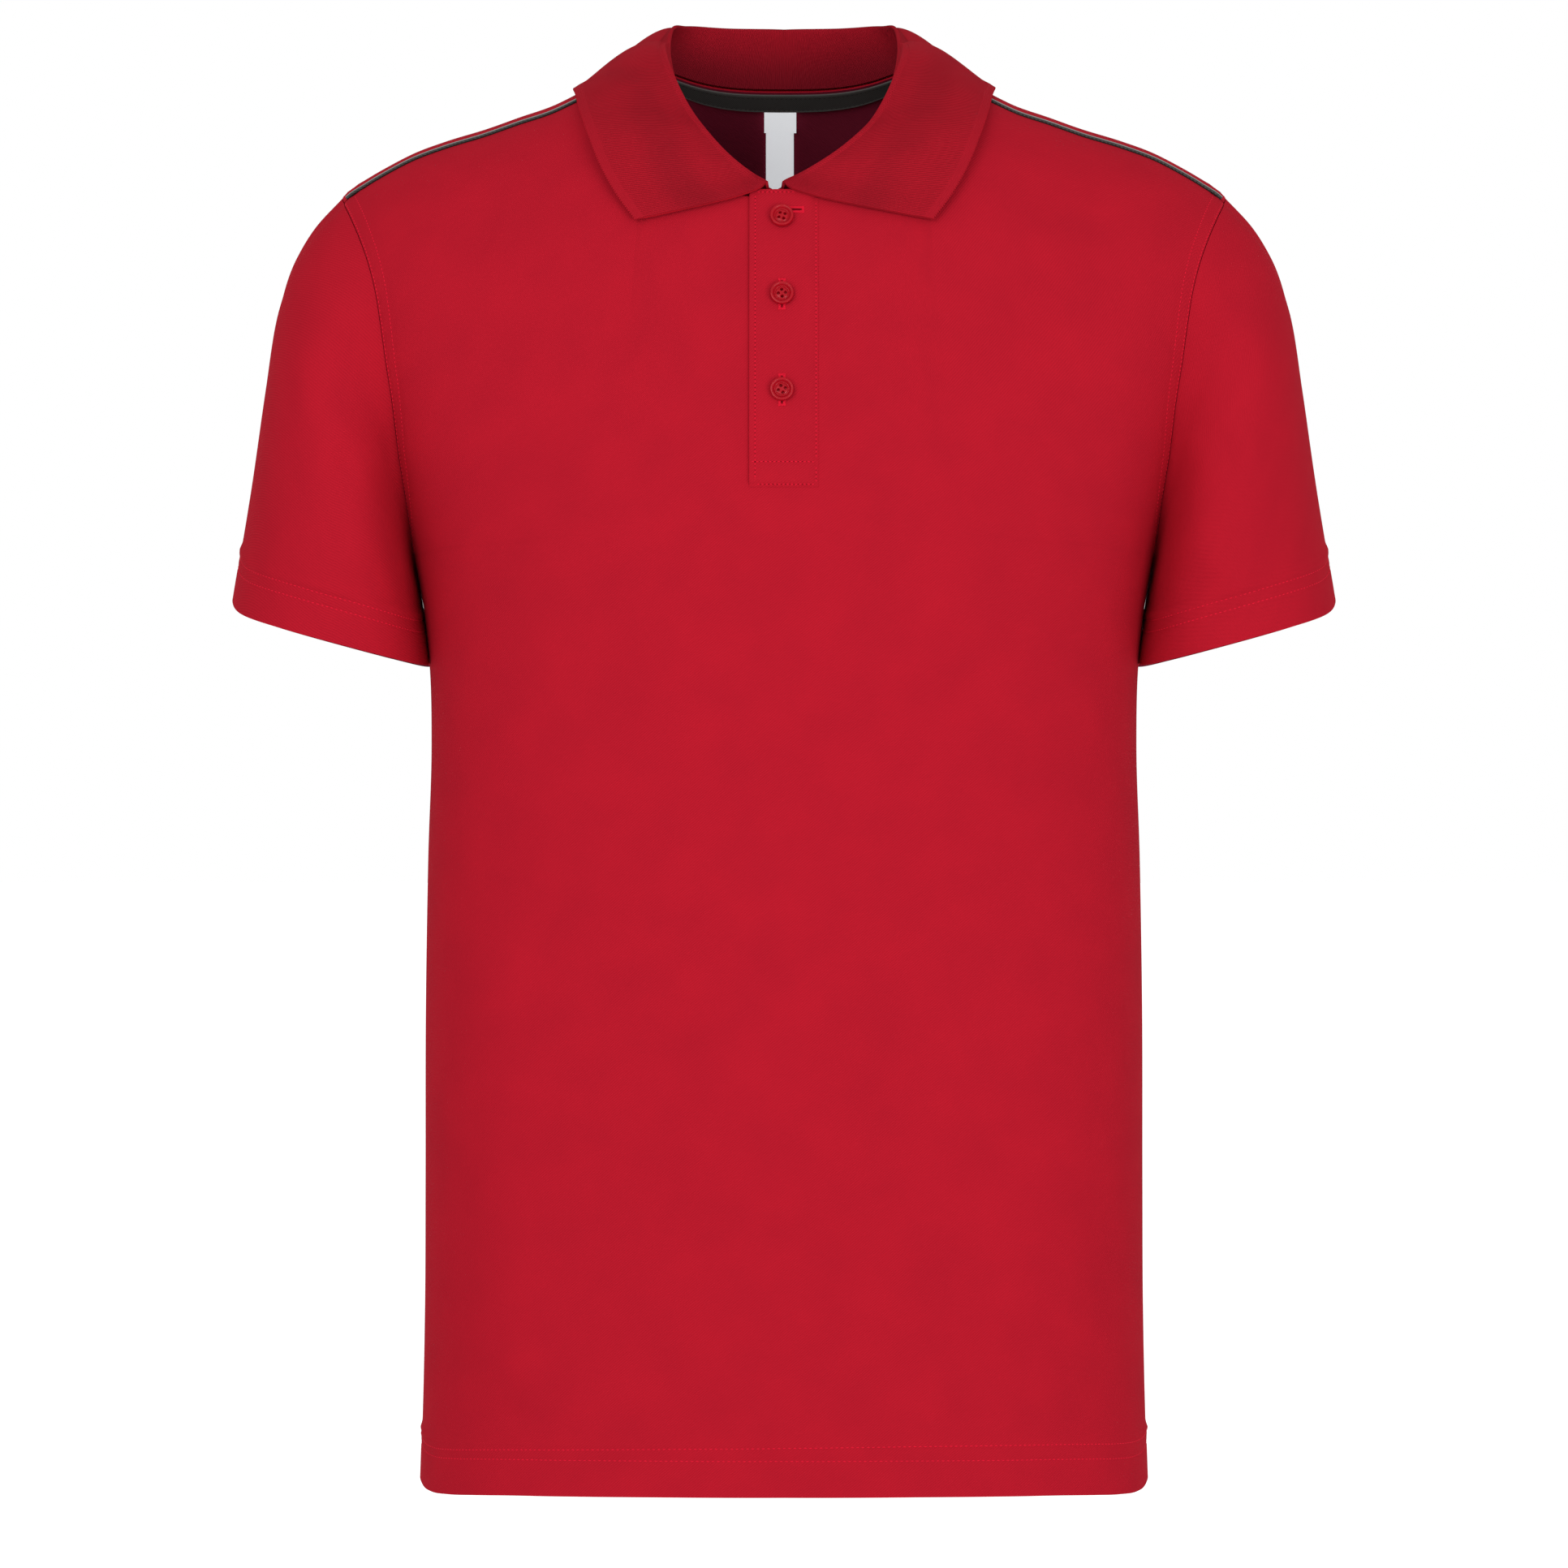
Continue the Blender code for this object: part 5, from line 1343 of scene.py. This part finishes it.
# Sleeves: the left is built on the mirrored armhole, then mirrored back
right_sleeve = sleeve_sheets(front["outer"], back["outer"], RIGHT_SLEEVE_CREASES)
left_sleeve = mirrored(sleeve_sheets(front["outer"][:, ::-1] * MIRROR, back["outer"][:, ::-1] * MIRROR,
                                     LEFT_SLEEVE_CREASES))
right_sleeve_piece = make_sleeve("sleeve_right", right_sleeve)
left_sleeve_piece = make_sleeve("sleeve_left", left_sleeve)

# Collar, placket, buttons
collar = collar_sheets()
collar_piece = make_sheet("collar", collar, red_rib, "red_rib")
placket = strip_sheets(PLACKET, SEAM, STRIP_WALL, (PLACKET_TOP_ROW, *PLACKET_BOX_ROWS),
                       (PLACKET_LEFT_ROW, PLACKET_RIGHT_ROW), PLACKET_CORNER, True)
placket_piece = make_sheet("placket_top", placket, red_knit, "red_knit")
under = strip_sheets(UNDER_PLACKET, -(WALL + SEAM + STRIP_WALL), STRIP_WALL)
under_piece = make_sheet("placket_under", under, red_knit, "red_knit")
for number, (z, turn) in enumerate(zip(BUTTON_HEIGHTS, BUTTON_TURNS), 1):
    make_button(f"button_{number}", z, turn)

# Neck tape, tab and label, piping
middle = len(panel_columns()) - 1
reach = SLOT_STEPS + NECK_STEPS - 2
tape = neck_strip(back, middle - reach, middle + reach, SEAM, TAPE_WIDTH, WALL + TAPE_GAP, TAPE_WALL, 14)
tape_piece = make_sheet("neck_tape", tape, dark_twill, "dark_tape")
column_width = SLOT_HALF_WIDTH / SLOT_STEPS
lower = TAPE_WIDTH + SEAM
labels = []
for name, box, height in (("neck_label", LABEL, WALL + SEAM),
                          ("size_tab", TAB, WALL + LABEL_WALL + 2 * SEAM)):
    strip = neck_strip(back, middle - box["right"] / column_width, middle - box["left"] / column_width,
                       lower + box["top"], lower + box["bottom"], height, LABEL_WALL, 24)
    labels.append((make_sheet(name, strip, white_satin, "white_satin"), strip))
make_piping("piping_right", 1)
make_piping("piping_left", -1)


def body_rows(panel):
    """The rows of stitches of a panel: two round the hem, two along each armhole."""
    from_hem = run_length(panel["outer"], 0)
    rows = [stitch_row(line_at(joined(panel), from_hem, value), HEM_PITCH)
            for value in (HEM_LOWER_ROW, HEM_UPPER_ROW + hem_waver(panel["outer"][0, :, 0]))]
    upper = joined(panel)[UNDERARM_ROW + 2:-1].transpose(1, 0, 2)
    for distance in (run_length(panel["outer"], 1), run_length(panel["outer"], 1, from_end=True)):
        distance = distance[UNDERARM_ROW + 2:-1].T
        turned = distance[0, 0] > distance[-1, 0]
        sheet, distance = (upper[::-1], distance[::-1]) if turned else (upper, distance)
        rows += [stitch_row(line_at(sheet, distance, place), ARMHOLE_PITCH) for place in ARMHOLE_ROWS]
    return rows


def cuff_rows(sleeve):
    """The two rows of stitches round a cuff."""
    ring, to_cuff = (np.concatenate([grid, grid[:, :1]], axis=1)[::-1]
                     for grid in (joined(sleeve), sleeve["to_cuff"]))
    return [stitch_row(line_at(ring, to_cuff, place), CUFF_PITCH)
            for place in (CUFF_LOWER_ROW, CUFF_UPPER_ROW)]


def placket_rows():
    """The placket's rows: down both sides, along the top, and the two of its box."""
    rows = []
    for value, upright, start, end in ((PLACKET_LEFT_ROW, True, -0.1990, -0.0605),
                                       (PLACKET_RIGHT_ROW, True, -0.2013, -0.0640),
                                       (PLACKET_TOP_ROW, False, -0.0135, 0.0060),
                                       (PLACKET_BOX_ROWS[0], False, -0.0160, 0.0153),
                                       (PLACKET_BOX_ROWS[1], False, -0.0138, 0.0153)):
        line = strip_line(placket, value, upright)
        at = line[:, 2 if upright else 0]
        rows.append(stitch_row(line[(at > start) & (at < end)], PLACKET_PITCH))
    return rows


def between_stitches(row):
    """The needle's holes between the stitches of a row, as short dark stitches sunk into the cloth: painted
    shade.
    """
    middles, ways, outs, length, thickness = row
    between = (middles[:-1] + middles[1:]) / 2 - NEEDLE_SINK * outs[:-1]
    return between, ways[:-1], outs[:-1], 0.5 * length, thickness


def tape_rows():
    """The tape's two rows of stitches, on the side that faces into the neck."""
    seen = joined(tape, "inner", -1)[::-1]
    down = run_length(tape["inner"], 0, from_end=True)[::-1]
    return [stitch_row(line_at(seen, down, place), TAPE_PITCH, TAPE_THREAD_THICKNESS) for place in TAPE_ROWS]


def collar_edge_loops():
    """The scalloped edge of the collar: a round knitted loop at every pitch along it."""
    middles, ways, outs, _, _ = stitch_row(joined(collar, "middle")[-1], SCALLOP_PITCH, sink=0.0)
    return [(middles, ways, outs, SCALLOP_LENGTH, SCALLOP_THICKNESS)]


front_threads = add_threads("front_stitches", body_rows(front), red_thread)
back_threads = add_threads("back_stitches", body_rows(back), red_thread)
right_threads = add_threads("right_cuff_stitches", cuff_rows(right_sleeve), red_thread)
left_threads = add_threads("left_cuff_stitches", cuff_rows(left_sleeve), red_thread)
placket_threads = placket_rows()
box_threads = add_threads("placket_stitches", placket_threads, red_thread)
lips, dark = buttonhole(BUTTON_HEIGHTS[0], **TOP_HOLE)
# painted shade: dark stitches in the needle holes and the buttonhole cuts
dark = [between_stitches(row) for row in placket_threads] + dark
for z in BUTTON_HEIGHTS[1:]:
    threads, cut = buttonhole(z, True, HOLE_HALF_LENGTH)
    lips += threads
    dark += cut
lip_threads = add_threads("buttonhole_threads", lips, red_thread)
hole_shade_threads = add_threads("needle_hole_shade", dark, hole_shade)
tape_threads = add_threads("tape_stitches", tape_rows(), dark_thread)
edge_threads = add_threads("collar_edge", collar_edge_loops(), red_rib)

# The cloth that each sheet was cut from
sheets = (
    (front_piece, front["outer"], "hung", ["back"], [front_threads]),
    (back_piece, back["outer"], "hung", ["front"], [back_threads]),
    (right_sleeve_piece, right_sleeve["outer"], "hung", ["front", "back"], [right_threads]),
    (left_sleeve_piece, left_sleeve["outer"], "hung", ["front", "back"], [left_threads]),
    (collar_piece, collar["middle"], "folded", ["front", "back"], [edge_threads]),
    (placket_piece, placket["outer"], "hung", ["front"], [box_threads, lip_threads, hole_shade_threads]),
    (under_piece, under["outer"], "hung", ["front"], []),
    (tape_piece, tape["outer"], "hung", ["back"], [tape_threads]),
    (labels[0][0], labels[0][1]["outer"], "hung", ["neck_tape"], []),
    (labels[1][0], labels[1][1]["outer"], "folded", ["neck_tape"], []),
    (right_seam_piece, right_seam, "hung", ["back"], []),
    (left_seam_piece, left_seam, "hung", ["back"], []),
)
for piece, sheet, held, holders, extras in sheets:
    flat, area = cut_size(sheet, piece in (right_sleeve_piece, left_sleeve_piece))


def seen_only(tree, socket, for_light, for_camera):
    """Gives a socket one value where it lights other things and another where the camera sees it."""
    seen = tree.nodes.new("ShaderNodeLightPath").outputs["Is Camera Ray"]
    value = tree.nodes.new("ShaderNodeMapRange")
    tree.links.new(seen, value.inputs["Value"])
    value.inputs["To Min"].default_value = for_light
    value.inputs["To Max"].default_value = for_camera
    tree.links.new(value.outputs["Result"], socket)


def add_floor(z, half_width):
    """A plain pale floor that melts into the white behind it."""
    mesh = bpy.data.meshes.new("floor")
    corners = [(-1, -1), (1, -1), (1, 1), (-1, 1)]
    mesh.from_pydata([(half_width * x, half_width * y, z) for x, y in corners], [], [(0, 1, 2, 3)])
    material = plain_material("pale floor", (0.90, 0.90, 0.90), 0.9, Specular_IOR_Level=0.0,
                              Emission_Color=(1.0, 1.0, 1.0, 1.0))
    shader = material.node_tree.nodes["Principled BSDF"]
    seen_only(material.node_tree, shader.inputs["Emission Strength"], 0.0, FLOOR_GLOW)
    mesh.materials.append(material)
    floor = bpy.data.objects.new("floor", mesh)
    bpy.context.scene.collection.objects.link(floor)


def add_softbox(name, place, aim, power):
    """A square studio lamp that looks at a point."""
    lamp = bpy.data.lights.new(name, "AREA")
    lamp.shape = "SQUARE"
    lamp.size = LAMP_SIZE
    lamp.energy = power
    piece = bpy.data.objects.new(name, lamp)
    piece.location = place
    piece.rotation_euler = (Vector(aim) - Vector(place)).to_track_quat("-Z", "Y").to_euler()
    bpy.context.scene.collection.objects.link(piece)


def add_backdrop():
    """A white world, plain white behind the shirt and softer as the light that falls on it."""
    world = bpy.data.worlds.new("studio")
    world.use_nodes = True
    tree = world.node_tree
    background = tree.nodes["Background"]
    background.inputs["Color"].default_value = (1.0, 1.0, 1.0, 1.0)
    seen_only(tree, background.inputs["Strength"], WORLD_STRENGTH, 1.0)
    bpy.context.scene.world = world


add_floor(FLOOR_Z, FLOOR_HALF_WIDTH)
add_backdrop()
add_softbox("key", KEY_PLACE, (0, 0, -0.35), KEY_POWER)
add_softbox("fill", FILL_PLACE, (0, 0, -0.50), FILL_POWER)

lens = bpy.data.cameras.new("camera")
lens.angle = 2 * np.arctan(VIEW_WIDTH / 2 / CAMERA_DISTANCE)
lens.clip_start = 0.05
camera = bpy.data.objects.new("camera", lens)
camera.location = (0.0, -CAMERA_DISTANCE, CAMERA_HEIGHT)
camera.rotation_euler = (np.pi / 2, 0.0, 0.0)
bpy.context.scene.collection.objects.link(camera)
bpy.context.scene.camera = camera
bpy.context.scene.view_settings.view_transform = "Standard"

bpy.context.view_layer.update()
